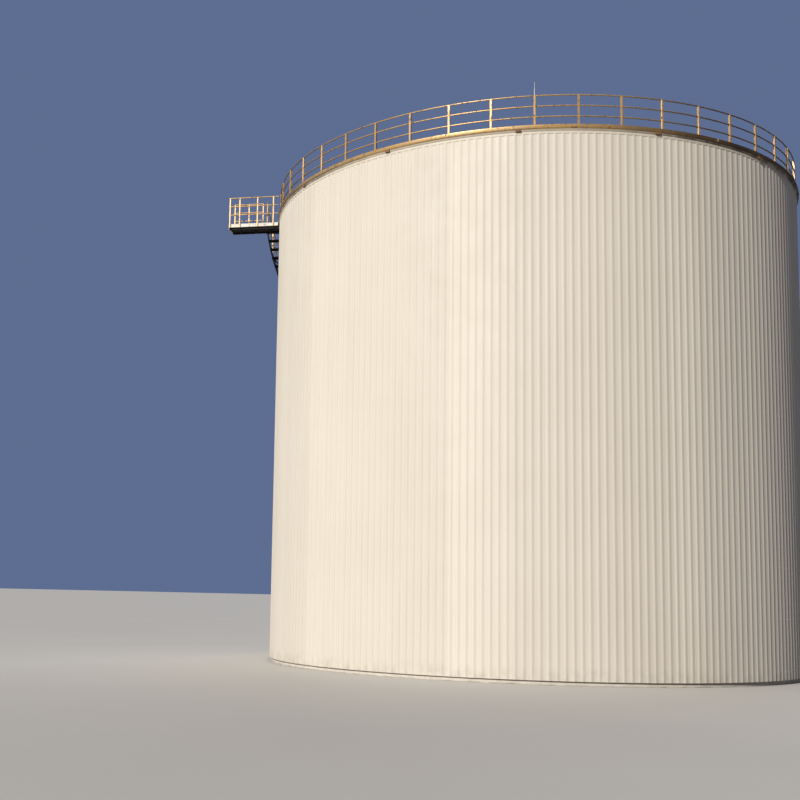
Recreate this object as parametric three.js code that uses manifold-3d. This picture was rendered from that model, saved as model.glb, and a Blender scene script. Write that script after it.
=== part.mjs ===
// Vertical storage tank: an insulated and clad cylinder on a round plinth, with a cone roof, a rim
// with curb and guard rail, a walkway at rim level and a stair that follows the wall.
// Millimetres, +Z up. The origin lies on the tank's axis at ground level. An azimuth is in degrees:
// 0 faces -Y and it grows towards +X.
import * as THREE from 'three';
import { mergeVertices } from 'three/addons/utils/BufferGeometryUtils.js';
import Module from 'manifold-3d';

const wasm = await Module();
wasm.setup();

// Seats between pieces, and how finely round shapes are faceted
const SEAT_GAP = 0.3;
const ROUND_SIDES = 96;
const SMALL_SIDES = 24;
const WALL_STEP = 2.5;
const RIM_STEP = 4;

// Tank body
const CLAD_RADIUS = 8880;
const WALL_THICKNESS = 120;
const WALL_HEIGHT = 15400;
const WALL_SEGMENTS = 8;
const PLINTH_HEIGHT = 120;
const PLINTH_SETBACK = 60;
const FLOOR_THICKNESS = 8;
const FLOOR_CLEARANCE = 5;
const FLASHING_DEPTH = 15;
const FLASHING_OVERHANG = 6;

// Roof
const ROOF_RADIUS = 8780;
const ROOF_THICKNESS = 80;
const ROOF_RISE = 1300;
const CROWN_RADIUS = 400;
const VENT_RADIUS = 150;
const VENT_HEIGHT = 500;
const VENT_HOOD_RADIUS = 320;
const VENT_HOOD_HEIGHT = 180;
const HATCH_AZIMUTH = -80.625;
const HATCH_DISTANCE = 7000;
const HATCH_RADIUS = 300;
const HATCH_HEIGHT = 250;
const HATCH_LID_RADIUS = 350;
const HATCH_LID_THICKNESS = 25;

// Rim and guard rail
const RIM_SECTIONS = 9;
const RIM_START = -2.5;
const RIM_OVERHANG = 65;
const RIM_FLANGE_THICKNESS = 12;
const RIM_ROOF_CLEARANCE = 8;
const CURB_FLARE_HEIGHT = 85;
const CURB_THICKNESS = 10;
const CURB_HEIGHT = 180;
const THRESHOLD_LAP = 0.1;
const POST_PITCH = 8;
const POST_WIDTH = 60;
const RAIL_RADIUS = 8838;
const RAIL_PIPE = 21;
const RAIL_SIDES = 4;
const RAIL_HEIGHTS = [450, 765, 1080];
const ROD_RADIUS = 10;
const ROD_SIDES = 12;
const ROD_HEIGHT = 1520;
const ROD_AZIMUTH = 1.5;
const ROD_DISTANCE = 8797;

// Walkway
const WALKWAY_NEAR = -1550;
const WALKWAY_FAR = -850;
const WALKWAY_END = -10650;
const DECK_THICKNESS = 30;
const EDGE_PLATE = 10;
const EDGE_PLATE_BELOW = 37;
const EDGE_PLATE_ABOVE = 108;
const BEARER_WIDTH = 50;
const BEARER_HEIGHT = 62;
const BEARER_INSET = 60;
const WALKWAY_POST = 40;
const WALKWAY_NEAR_POSTS = [-10610, -10245, -9580, -8990];
const WALKWAY_FAR_POSTS = [-10610, -10075, -9540];
const WALKWAY_RAIL_OVERRUN = 190;

// Stair
const STAIR_INNER = 8960;
const STAIR_OUTER = 9388;
const STRINGER_THICKNESS = 12;
const STRINGER_BELOW = 20;
const STRINGER_ABOVE = 240;
const STAIR_TOP_AZIMUTH = -84.1;
const STEP_ANGLE = 2.3;
const TREADS_PER_FLIGHT = 23;
const FLIGHTS = 3;
const TREAD_THICKNESS = 30;
const TREAD_DEPTH = 285;
const LANDING_ANGLE = 5.2;
const LANDING_EDGE_BELOW = 150;
const BRACKET_BAR = 50;
const BRACKET_TREADS = [3, 9, 15, 21];
const STAIR_POST = 40;
const STAIR_POST_STEPS = 4;
const HANDRAIL_ABOVE_PITCH = 1200;
const MIDRAIL_ABOVE_PITCH = 720;
const RAIL_JOINT_ANGLE = 0.2;

// Manway low on the wall
const MANWAY_AZIMUTH = 85;
const MANWAY_CENTRE = 1020;
const MANWAY_RADIUS = 300;
const MANWAY_REACH = 160;
const MANWAY_COVER_RADIUS = 380;
const MANWAY_COVER_THICKNESS = 30;

// Levels and radii that follow from the sizes above
const RIM_LEVEL = PLINTH_HEIGHT + WALL_HEIGHT;
const FLANGE_TOP = RIM_LEVEL + SEAT_GAP + RIM_FLANGE_THICKNESS;
const RIM_RADIUS = CLAD_RADIUS + RIM_OVERHANG;
const DECK_TOP = FLANGE_TOP;
const STEP_RISE = DECK_TOP / ((TREADS_PER_FLIGHT + 1) * FLIGHTS);
const FLIGHT_ANGLE = TREADS_PER_FLIGHT * STEP_ANGLE;
const SECTION_ANGLE = 360 / RIM_SECTIONS;
const GATE_AZIMUTH = RIM_START - 2 * SECTION_ANGLE;

const degrees = THREE.MathUtils.radToDeg;
const radians = THREE.MathUtils.degToRad;
const tank = new THREE.Group();

const FINISHES = {
  cladding: { color: 0xe9dfca, roughness: 0.55, metalness: 0.1 },
  concrete: { color: 0xcfc4b2, roughness: 0.9, metalness: 0 },
  golden: { color: 0xc08a2c, roughness: 0.45, metalness: 0.1 },
  white: { color: 0xe8e4da, roughness: 0.5, metalness: 0.1 },
  dark: { color: 0x34363c, roughness: 0.6, metalness: 0.3 },
  roof: { color: 0xb9b7b0, roughness: 0.55, metalness: 0.3 },
  steel: { color: 0x8d8f92, roughness: 0.45, metalness: 0.8 },
};

// Names a piece, gives it a finish of its own and hangs it on the tank
function add(name, geometry, finish) {
  const mesh = new THREE.Mesh(geometry, new THREE.MeshStandardMaterial(FINISHES[finish]));
  mesh.name = name;
  tank.add(mesh);
  return mesh;
}

// Turns a closed geometry into a solid for cutting and joining
function solid(geometry) {
  geometry.deleteAttribute('normal');
  geometry.deleteAttribute('uv');
  const closed = mergeVertices(geometry);
  return new wasm.Manifold(new wasm.Mesh({
    numProp: 3,
    vertProperties: Float32Array.from(closed.attributes.position.array),
    triVerts: Uint32Array.from(closed.index.array),
  }));
}

// Fuses closed geometries into one solid
function join(geometries) {
  return geometries.map(solid).reduce((whole, piece) => whole.add(piece));
}

// The surface of a solid as a geometry
function skin(body) {
  const mesh = body.getMesh();
  const geometry = new THREE.BufferGeometry();
  geometry.setAttribute('position', new THREE.BufferAttribute(mesh.vertProperties, 3));
  geometry.setIndex(new THREE.BufferAttribute(mesh.triVerts, 1));
  geometry.computeVertexNormals();
  return geometry;
}

// Wraps a geometry that is drawn flat (x along the wall, y towards the axis, z up) round the axis.
// Its x = 0 lands at the given azimuth, and it climbs by rise for each degree.
function wrap(geometry, radius, azimuth, rise = 0) {
  const place = geometry.attributes.position;
  for (let i = 0; i < place.count; i += 1) {
    const turn = place.getX(i) / radius;
    const angle = radians(azimuth) + turn;
    const reach = radius - place.getY(i);
    const level = place.getZ(i) + degrees(turn) * rise;
    place.setXYZ(i, reach * Math.sin(angle), -reach * Math.cos(angle), level);
  }
  return geometry;
}

// A plate or bar that follows the wall between two azimuths, two radii and two levels
function curvedBar({ from, to, inner, outer, bottom, top, step = RIM_STEP, rise = 0 }) {
  const length = radians(to - from) * outer;
  const count = Math.max(1, Math.round((to - from) / step));
  const bar = new THREE.BoxGeometry(length, outer - inner, top - bottom, count, 1, 1);
  bar.translate(length / 2, (outer - inner) / 2, (top + bottom) / 2);
  return wrap(bar, outer, from, rise);
}

// A section given as (distance from the axis, level) pairs, carried round the wall between two azimuths
function curvedSection({ outline, from, to, step = RIM_STEP }) {
  const reach = Math.max(...outline.map(([distance]) => distance));
  const length = radians(to - from) * reach;
  const count = Math.max(1, Math.round((to - from) / step));
  const points = outline.map(([distance, level]) => new THREE.Vector2(reach - distance, level));
  const depth = { depth: length, steps: count, bevelEnabled: false };
  const bar = new THREE.ExtrudeGeometry(new THREE.Shape(points), depth);
  const inward = new THREE.Vector3(0, 1, 0);
  const up = new THREE.Vector3(0, 0, 1);
  const along = new THREE.Vector3(1, 0, 0);
  return wrap(bar.applyMatrix4(new THREE.Matrix4().makeBasis(inward, up, along)), reach, from);
}

// A pipe that follows the wall between two azimuths, at one radius
function curvedPipe({ from, to, radius, level, pipe = RAIL_PIPE, step = RIM_STEP, rise = 0 }) {
  const length = radians(to - from) * radius;
  const count = Math.max(1, Math.round((to - from) / step));
  const tube = new THREE.CylinderGeometry(pipe, pipe, length, RAIL_SIDES, count);
  tube.rotateZ(Math.PI / 2);
  tube.translate(length / 2, 0, level);
  return wrap(tube, radius, from, rise);
}

// A straight block between two corners
function block(low, high) {
  const size = high.map((value, axis) => value - low[axis]);
  const box = new THREE.BoxGeometry(...size);
  box.translate(...low.map((value, axis) => value + size[axis] / 2));
  return box;
}

// A block drawn at the front of the tank (x sideways, y = -radius, z up), turned to an azimuth
function blockAt(azimuth, low, high) {
  return block(low, high).rotateZ(radians(azimuth));
}

// A shape turned round a vertical axis from (radius, level) pairs, going up on its outside
function turned(profile, sides = ROUND_SIDES) {
  const points = profile.map(([radius, level]) => new THREE.Vector2(radius, level));
  return new THREE.LatheGeometry(points, sides).rotateX(Math.PI / 2);
}

// An upright drum for cutting pieces back to a faceted round, a seat's gap outside its faces
function trimmer({ radius, step, start, bottom, top }) {
  const reach = radius + SEAT_GAP / Math.cos(radians(step / 2));
  const drum = new THREE.CylinderGeometry(reach, reach, top - bottom, 360 / step);
  drum.rotateX(Math.PI / 2);
  drum.rotateZ(radians(start));
  drum.translate(0, 0, (top + bottom) / 2);
  return solid(drum);
}

// Cuts that leave pieces seated on the wall and on the rim
function wallTrimmer(top) {
  return trimmer({ radius: CLAD_RADIUS, step: WALL_STEP, start: 0, bottom: 0, top });
}

function rimTrimmer(bottom, top) {
  return trimmer({ radius: RIM_RADIUS, step: RIM_STEP, start: RIM_START, bottom, top });
}

// A round plate between two levels
function disc(radius, bottom, top) {
  return turned([[0, bottom], [radius, bottom], [radius, top], [0, top]]);
}

// Foundation, wall, floor and base flashing
function addBody() {
  const plinthRadius = CLAD_RADIUS - PLINTH_SETBACK;
  const inner = CLAD_RADIUS - WALL_THICKNESS;
  const seat = PLINTH_HEIGHT + SEAT_GAP;
  add('foundation_plinth', disc(plinthRadius, 0, PLINTH_HEIGHT), 'concrete');
  add('tank_floor', disc(inner - FLOOR_CLEARANCE, seat, seat + FLOOR_THICKNESS), 'steel');

  const ringInner = plinthRadius + SEAT_GAP;
  const ringOuter = CLAD_RADIUS + FLASHING_OVERHANG;
  const ringBottom = PLINTH_HEIGHT - FLASHING_DEPTH;
  add('base_flashing', turned([[ringInner, ringBottom], [ringOuter, ringBottom], [ringOuter, PLINTH_HEIGHT],
    [ringInner, PLINTH_HEIGHT], [ringInner, ringBottom]]), 'dark');

  const angle = 360 / WALL_SEGMENTS;
  const joint = degrees(SEAT_GAP / inner) / 2;
  for (let k = 0; k < WALL_SEGMENTS; k += 1) {
    add(`wall_segment_${k + 1}`, curvedBar({
      from: k * angle + joint,
      to: (k + 1) * angle - joint,
      inner,
      outer: CLAD_RADIUS,
      bottom: seat,
      top: RIM_LEVEL,
      step: WALL_STEP,
    }), 'cladding');
  }
}

// Level of the roof's upper face at a distance from the axis
function roofLevel(distance) {
  const edge = RIM_LEVEL + SEAT_GAP + ROOF_THICKNESS;
  const share = (ROOF_RADIUS - Math.max(distance, CROWN_RADIUS)) / (ROOF_RADIUS - CROWN_RADIUS);
  return edge + ROOF_RISE * share;
}

// Cone roof with its flat crown, the vent on the crown and the hatch, square on a facet near the gate
function addRoof() {
  const edge = RIM_LEVEL + SEAT_GAP;
  const crown = roofLevel(0);
  add('roof_cone', turned([[0, crown - ROOF_THICKNESS], [CROWN_RADIUS, crown - ROOF_THICKNESS],
    [ROOF_RADIUS, edge], [ROOF_RADIUS, edge + ROOF_THICKNESS], [CROWN_RADIUS, crown], [0, crown]]), 'roof');

  const seat = crown + SEAT_GAP;
  const neckTop = seat + VENT_HEIGHT;
  add('roof_vent', turned([[0, seat], [VENT_RADIUS * 1.6, seat], [VENT_RADIUS * 1.6, seat + 20],
    [VENT_RADIUS, seat + 20], [VENT_RADIUS, neckTop], [VENT_HOOD_RADIUS, neckTop],
    [VENT_HOOD_RADIUS, neckTop + 40], [0, neckTop + VENT_HOOD_HEIGHT]], SMALL_SIDES), 'steel');

  const facet = Math.cos(Math.PI / ROUND_SIDES);
  const slope = Math.atan(ROOF_RISE / (ROOF_RADIUS - CROWN_RADIUS) / facet);
  const hatch = add('roof_manhole', turned([[0, 0], [HATCH_RADIUS, 0], [HATCH_RADIUS, HATCH_HEIGHT],
    [HATCH_LID_RADIUS, HATCH_HEIGHT], [HATCH_LID_RADIUS, HATCH_HEIGHT + HATCH_LID_THICKNESS],
    [0, HATCH_HEIGHT + HATCH_LID_THICKNESS]], SMALL_SIDES), 'steel');
  hatch.position.set(0, -HATCH_DISTANCE, roofLevel(HATCH_DISTANCE / facet) + SEAT_GAP / Math.cos(slope));
  hatch.rotation.x = slope;
  const carrier = new THREE.Group();
  carrier.rotation.z = radians(HATCH_AZIMUTH);
  carrier.add(hatch);
  tank.add(carrier);
}

// The arc that the curb and rails of a section keep, open between the posts beside the gate
function sectionArc(k) {
  const from = RIM_START + k * SECTION_ANGLE;
  const to = from + SECTION_ANGLE;
  const gate = GATE_AZIMUTH + 360;
  return {
    from,
    to,
    railFrom: from === gate ? from + POST_PITCH / 2 : from,
    railTo: to === gate ? to - POST_PITCH / 2 : to,
  };
}

// Pressed steel rim: a flange on the wall, and a curb that flares out from it and stands upright.
// In the gate there is no curb, and a level threshold plate instead.
function rimSection(arc, joint) {
  const bottom = RIM_LEVEL + SEAT_GAP;
  const span = { from: arc.from + joint, to: arc.to - joint, bottom, top: FLANGE_TOP };
  const root = CLAD_RADIUS - CURB_THICKNESS;
  const foldTop = CLAD_RADIUS - CURB_THICKNESS / 2;
  const flareTop = bottom + CURB_FLARE_HEIGHT;
  const curbTop = RIM_LEVEL + CURB_HEIGHT;
  const outline = [
    [root, bottom],
    [CLAD_RADIUS, bottom],
    [RIM_RADIUS, flareTop],
    [RIM_RADIUS, curbTop],
    [RIM_RADIUS - CURB_THICKNESS, curbTop],
    [RIM_RADIUS - CURB_THICKNESS, flareTop],
    [foldTop, FLANGE_TOP],
    [root, FLANGE_TOP],
  ];
  const parts = [
    curvedBar({ ...span, inner: ROOF_RADIUS + RIM_ROOF_CLEARANCE, outer: foldTop }),
    curvedSection({ outline, from: arc.railFrom + joint, to: arc.railTo - joint }),
  ];
  const threshold = { ...span, inner: root, outer: RIM_RADIUS };
  if (arc.railTo < arc.to) {
    parts.push(curvedBar({ ...threshold, from: arc.railTo - THRESHOLD_LAP }));
  }
  if (arc.railFrom > arc.from) {
    parts.push(curvedBar({ ...threshold, to: arc.railFrom + THRESHOLD_LAP }));
  }
  return parts;
}

// Rim with its curb, the guard rail on it and the lightning rod behind a post
function addRim() {
  const joint = degrees(SEAT_GAP / ROOF_RADIUS) / 2;
  for (let k = 0; k < RIM_SECTIONS; k += 1) {
    const arc = sectionArc(k);
    add(`rim_section_${k + 1}`, skin(join(rimSection(arc, joint))), 'golden');
    add(`guard_rail_${k + 1}`, skin(join(guardRail(arc, joint))), 'golden');
  }

  const rod = new THREE.CylinderGeometry(ROD_RADIUS, ROD_RADIUS, ROD_HEIGHT, ROD_SIDES);
  rod.rotateX(Math.PI / 2).translate(0, -ROD_DISTANCE, FLANGE_TOP + SEAT_GAP + ROD_HEIGHT / 2);
  add('lightning_rod', rod.rotateZ(radians(ROD_AZIMUTH)), 'white');
}

// Posts and rails of one guard-rail section
function guardRail(arc, joint) {
  const half = POST_WIDTH / 2;
  const pieces = RAIL_HEIGHTS.map((height) => curvedPipe({
    from: arc.railFrom + joint,
    to: arc.railTo - joint,
    radius: RAIL_RADIUS,
    level: RIM_LEVEL + height,
  }));
  for (let azimuth = arc.from + POST_PITCH / 2; azimuth < arc.to; azimuth += POST_PITCH) {
    pieces.push(blockAt(azimuth, [-half, -RAIL_RADIUS - half, FLANGE_TOP + SEAT_GAP],
      [half, -RAIL_RADIUS + half, RIM_LEVEL + RAIL_HEIGHTS.at(-1)]));
  }
  return pieces;
}

// A straight rail panel along X: square posts at the given places with three pipes between its ends
function straightRail(y, posts, from, to) {
  const half = WALKWAY_POST / 2;
  const bottom = DECK_TOP - DECK_THICKNESS;
  const top = RIM_LEVEL + RAIL_HEIGHTS.at(-1);
  const uprights = posts.map((x) => block([x - half, y - half, bottom], [x + half, y + half, top]));
  const pipes = RAIL_HEIGHTS.map((height) => {
    const pipe = new THREE.CylinderGeometry(RAIL_PIPE, RAIL_PIPE, to - from, RAIL_SIDES);
    return pipe.rotateZ(Math.PI / 2).translate((from + to) / 2, y, RIM_LEVEL + height);
  });
  return [...uprights, ...pipes];
}

// Walkway at rim level: deck on two bearers between edge plates, and its two rails
function addWalkway() {
  const deckBottom = DECK_TOP - DECK_THICKNESS;
  const bearerBottom = deckBottom - BEARER_HEIGHT;
  const edgeBottom = DECK_TOP - EDGE_PLATE_BELOW;
  const edgeTop = DECK_TOP + EDGE_PLATE_ABOVE;
  const bearerTop = DECK_TOP - DECK_THICKNESS / 2;
  const reach = -ROOF_RADIUS + WALL_THICKNESS * 3;
  const stairOuter = -(STAIR_OUTER + STRINGER_THICKNESS);
  const parts = [
    block([WALKWAY_END, WALKWAY_NEAR, deckBottom], [reach, WALKWAY_FAR, DECK_TOP]),
    block([WALKWAY_END, WALKWAY_NEAR, edgeBottom], [reach, WALKWAY_NEAR + EDGE_PLATE, edgeTop]),
    block([WALKWAY_END, WALKWAY_FAR - EDGE_PLATE, edgeBottom], [stairOuter, WALKWAY_FAR, edgeTop]),
    block([WALKWAY_END, WALKWAY_NEAR, bearerBottom], [WALKWAY_END + EDGE_PLATE, WALKWAY_FAR, DECK_TOP]),
  ];
  [WALKWAY_NEAR + BEARER_INSET, WALKWAY_FAR - BEARER_INSET - BEARER_WIDTH].forEach((y) => {
    parts.push(block([WALKWAY_END, y, bearerBottom], [reach, y + BEARER_WIDTH, bearerTop]));
  });
  const rimCut = rimTrimmer(RIM_LEVEL, edgeTop + POST_WIDTH);
  add('walkway', skin(join(parts).subtract(rimCut).subtract(wallTrimmer(edgeTop))), 'white');

  const offset = WALKWAY_POST / 2 + SEAT_GAP;
  add('walkway_rail_near', skin(join(straightRail(WALKWAY_NEAR - offset, WALKWAY_NEAR_POSTS,
    WALKWAY_END, WALKWAY_NEAR_POSTS.at(-1) + WALKWAY_RAIL_OVERRUN))), 'golden');
  add('walkway_rail_far', skin(join(straightRail(WALKWAY_FAR + offset, WALKWAY_FAR_POSTS,
    WALKWAY_END, WALKWAY_FAR_POSTS.at(-1)))), 'golden');
}

// A wall bracket: a level arm under the steps and a raking strut from its outer end down to the wall
function bracket(azimuth, top) {
  const half = BRACKET_BAR / 2;
  const inner = -CLAD_RADIUS + WALL_THICKNESS / 2;
  const arm = blockAt(azimuth, [-half, -STAIR_OUTER, top - BRACKET_BAR], [half, inner, top]);
  const reach = STAIR_OUTER - CLAD_RADIUS;
  const strut = new THREE.BoxGeometry(BRACKET_BAR, BRACKET_BAR, reach * Math.SQRT2 + WALL_THICKNESS);
  strut.rotateX(Math.PI / 4);
  strut.translate(0, -CLAD_RADIUS - reach / 2 + BRACKET_BAR, top - reach / 2 - BRACKET_BAR);
  strut.rotateZ(radians(azimuth));
  return [arm, strut];
}

// One flight from its lower end: treads between two stringers that climb round the wall, with wall
// brackets where there is room for them above the plinth
function flight(bottomAzimuth, bottomLevel, treads) {
  const parts = [STAIR_INNER - STRINGER_THICKNESS, STAIR_OUTER].map((inner) => curvedBar({
    from: bottomAzimuth,
    to: bottomAzimuth + treads * STEP_ANGLE,
    inner,
    outer: inner + STRINGER_THICKNESS,
    bottom: bottomLevel - STRINGER_BELOW,
    top: bottomLevel + STRINGER_ABOVE,
    step: STEP_ANGLE,
    rise: STEP_RISE / STEP_ANGLE,
  }));
  const bite = STRINGER_THICKNESS / 2;
  for (let k = 1; k <= treads; k += 1) {
    const top = bottomLevel + k * STEP_RISE;
    const azimuth = bottomAzimuth + (k - 0.5) * STEP_ANGLE;
    parts.push(blockAt(azimuth, [-TREAD_DEPTH / 2, -STAIR_OUTER - bite, top - TREAD_THICKNESS],
      [TREAD_DEPTH / 2, -STAIR_INNER + bite, top]));
    const bracketFoot = top - (STAIR_OUTER - CLAD_RADIUS) - BRACKET_BAR * 2;
    if (BRACKET_TREADS.includes(k) && bracketFoot > PLINTH_HEIGHT) {
      parts.push(...bracket(azimuth, top - TREAD_THICKNESS / 2));
    }
  }
  return join(parts);
}

// A level landing between two flights, with edge plates in line with their stringers
function landing(fromAzimuth, level) {
  const joint = degrees(SEAT_GAP / STAIR_INNER);
  const arc = {
    from: fromAzimuth + joint,
    to: fromAzimuth + LANDING_ANGLE - joint,
    step: LANDING_ANGLE / 3,
  };
  const inner = STAIR_INNER - STRINGER_THICKNESS;
  const outer = STAIR_OUTER + STRINGER_THICKNESS;
  const bottom = level - LANDING_EDGE_BELOW;
  return join([
    curvedBar({ ...arc, inner, outer, bottom: level - TREAD_THICKNESS, top: level }),
    curvedBar({ ...arc, inner, outer: STAIR_INNER, bottom, top: level }),
    curvedBar({ ...arc, inner: STAIR_OUTER, outer, bottom, top: level }),
    ...bracket(fromAzimuth + LANDING_ANGLE * 0.2, level - TREAD_THICKNESS / 2),
    ...bracket(fromAzimuth + LANDING_ANGLE * 0.8, level - TREAD_THICKNESS / 2),
  ]);
}

// Outer handrail of a flight, carried on along the landing above it where there is one. The flight
// without one has a post on its last step. Posts beside treads stand on the flats of the stringer.
function stairRail(bottomAzimuth, bottomLevel, treads, hasLanding) {
  const rise = STEP_RISE / STEP_ANGLE;
  const face = STAIR_OUTER + STRINGER_THICKNESS;
  const flat = face * Math.cos(radians(STEP_ANGLE / 2));
  const half = STAIR_POST / 2;
  const radius = face + SEAT_GAP + half;
  const top = bottomAzimuth + treads * STEP_ANGLE;
  const parts = [];
  const post = (azimuth, bottom, height, seat) => parts.push(blockAt(azimuth,
    [-half, -seat - SEAT_GAP - STAIR_POST, bottom], [half, -seat - SEAT_GAP, height]));
  const steps = hasLanding ? [] : [treads];
  for (let k = 1; k <= treads; k += STAIR_POST_STEPS) {
    steps.push(k);
  }
  steps.forEach((k) => {
    const azimuth = bottomAzimuth + (k - 0.5) * STEP_ANGLE;
    const pitch = bottomLevel + (k - 0.5) * STEP_RISE;
    post(azimuth, pitch + STRINGER_BELOW, pitch + HANDRAIL_ABOVE_PITCH, flat);
  });
  const from = bottomAzimuth + RAIL_JOINT_ANGLE;
  const landingFrom = top - RAIL_JOINT_ANGLE;
  const landingTo = top + LANDING_ANGLE - RAIL_JOINT_ANGLE * 2;
  [HANDRAIL_ABOVE_PITCH, MIDRAIL_ABOVE_PITCH].forEach((above) => {
    const level = bottomLevel + above + RAIL_JOINT_ANGLE * rise;
    parts.push(curvedPipe({ from, to: top, radius, level, step: STEP_ANGLE * 2, rise }));
    if (hasLanding) {
      const levelTop = bottomLevel + above + FLIGHT_ANGLE * rise;
      const run = { from: landingFrom, to: landingTo, step: LANDING_ANGLE / 2 };
      parts.push(curvedPipe({ ...run, radius, level: levelTop }));
    }
  });
  if (hasLanding) {
    const deck = bottomLevel + (TREADS_PER_FLIGHT + 1) * STEP_RISE;
    const height = bottomLevel + FLIGHT_ANGLE * rise + HANDRAIL_ABOVE_PITCH;
    post(top + RAIL_JOINT_ANGLE * 4, deck - LANDING_EDGE_BELOW, height, face);
    post(landingTo, deck - LANDING_EDGE_BELOW, height, face);
  }
  return join(parts);
}

// Three flights with two landings between them, from the ground up to the walkway. The upper flight
// has one step more, level with the walkway.
function addStair() {
  const names = ['lower', 'middle', 'upper'];
  const landingNames = ['lower', 'upper'];
  const wallCut = wallTrimmer(DECK_TOP + POST_WIDTH);
  const far = -STAIR_OUTER * 2;
  const ground = solid(block([far, far, -STRINGER_BELOW * 2], [-far, -far, 0]));
  const deck = solid(block([far, WALKWAY_NEAR, 0], [0, WALKWAY_FAR + SEAT_GAP, DECK_TOP * 2]));
  const span = FLIGHT_ANGLE + LANDING_ANGLE;
  const foot = STAIR_TOP_AZIMUTH - STEP_ANGLE - FLIGHTS * FLIGHT_ANGLE - (FLIGHTS - 1) * LANDING_ANGLE;
  names.forEach((name, k) => {
    const azimuth = foot + k * span;
    const level = k * (TREADS_PER_FLIGHT + 1) * STEP_RISE;
    const hasLanding = k < landingNames.length;
    const treads = TREADS_PER_FLIGHT + (hasLanding ? 0 : 1);
    const steps = flight(azimuth, level, treads).subtract(wallCut).subtract(ground).subtract(deck);
    add(`stair_flight_${name}`, skin(steps), 'dark');
    add(`stair_rail_${name}`, skin(stairRail(azimuth, level, treads, hasLanding).subtract(deck)), 'golden');
    if (hasLanding) {
      const landingLevel = level + (TREADS_PER_FLIGHT + 1) * STEP_RISE;
      const platform = landing(azimuth + FLIGHT_ANGLE, landingLevel).subtract(wallCut);
      add(`landing_${landingNames[k]}`, skin(platform), 'dark');
    }
  });
}

// Round manway with a bolted cover, low on the wall
function addManway() {
  const depth = WALL_THICKNESS / 2;
  const neck = new THREE.CylinderGeometry(MANWAY_RADIUS, MANWAY_RADIUS, MANWAY_REACH + depth, SMALL_SIDES);
  neck.translate(0, (MANWAY_REACH - depth) / 2, 0);
  const cover = new THREE.CylinderGeometry(MANWAY_COVER_RADIUS, MANWAY_COVER_RADIUS, MANWAY_COVER_THICKNESS,
    SMALL_SIDES);
  cover.translate(0, MANWAY_REACH, 0);
  const turnedOut = join([neck, cover].map((piece) => piece.rotateX(Math.PI)
    .translate(0, -CLAD_RADIUS, MANWAY_CENTRE).rotateZ(radians(MANWAY_AZIMUTH))));
  add('shell_manway', skin(turnedOut.subtract(wallTrimmer(MANWAY_CENTRE * 2))), 'steel');
}

addBody();
addRoof();
addRim();
addWalkway();
addStair();
addManway();

export default tank;
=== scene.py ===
"""Looks of a vertical storage tank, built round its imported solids.

Metres, +Z up. An azimuth is in degrees: 0 faces -Y and it grows towards +X.
"""

import logging
import math
from dataclasses import dataclass
from enum import Enum
from typing import Any, Sequence

import bpy
import numpy as np
from mathutils import Matrix, Vector


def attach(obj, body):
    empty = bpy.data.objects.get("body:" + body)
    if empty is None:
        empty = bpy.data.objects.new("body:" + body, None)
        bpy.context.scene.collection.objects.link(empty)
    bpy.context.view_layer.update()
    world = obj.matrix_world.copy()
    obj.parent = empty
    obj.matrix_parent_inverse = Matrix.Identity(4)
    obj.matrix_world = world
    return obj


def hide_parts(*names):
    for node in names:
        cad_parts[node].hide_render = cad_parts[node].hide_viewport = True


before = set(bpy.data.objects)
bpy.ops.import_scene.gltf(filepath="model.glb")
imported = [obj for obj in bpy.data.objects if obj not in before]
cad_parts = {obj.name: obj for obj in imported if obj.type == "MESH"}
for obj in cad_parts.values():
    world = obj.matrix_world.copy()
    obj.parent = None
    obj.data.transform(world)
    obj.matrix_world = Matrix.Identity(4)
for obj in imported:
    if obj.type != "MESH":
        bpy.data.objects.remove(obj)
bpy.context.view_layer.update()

Array = np.ndarray
Colour = tuple[float, float, float]
log = logging.getLogger("storage_tank")

SEED = 11
SHARP_ANGLE = math.radians(28.0)
X_AXIS, Y_AXIS, Z_AXIS = np.eye(3)
FULL_ROUND = np.arange(0.0, 360.0, 1.0)


class Slot(Enum):
    """The material slots that the pieces wear."""

    CLADDING = "cladding"
    CONCRETE = "concrete"
    GOLDEN = "golden_paint"
    WHITE = "white_paint"
    DARK = "dark_steel"
    ROOFING = "roofing"
    STEEL = "steel"


@dataclass(frozen=True)
class TankSizes:
    """Radii, levels and azimuths that several sub-assemblies share."""

    clad_radius: float = 8.88
    shell_inner: float = 8.76
    plinth_top: float = 0.12
    seat: float = 0.0003
    rim_level: float = 15.52
    flange_top: float = 15.5323
    flange_inner: float = 8.788
    rim_radius: float = 8.945
    roof_radius: float = 8.78
    rail_radius: float = 8.838
    rail_pipe: float = 0.021
    rail_levels: tuple[float, ...] = (15.97, 16.285, 16.6)
    gate_from: float = -86.5
    gate_to: float = -78.5
    stair_inner: float = 8.96
    stair_outer: float = 9.388
    stringer: float = 0.012
    rim_stations: int = 353
    rim_sections: int = 9
    first_joint: float = -2.5

    def round_to_gate(self) -> Array:
        """Azimuths from one side of the gate round the back to the other."""
        return np.linspace(self.gate_to, self.gate_from + 360.0, self.rim_stations)

    def off_gate(self, azimuths: Array) -> Array:
        """Degrees from the middle of the gate, between -180 and 180."""
        return (azimuths - (self.gate_from + self.gate_to) / 2.0 + 180.0) % 360.0 - 180.0


TANK = TankSizes()


# Surfaces


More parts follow.
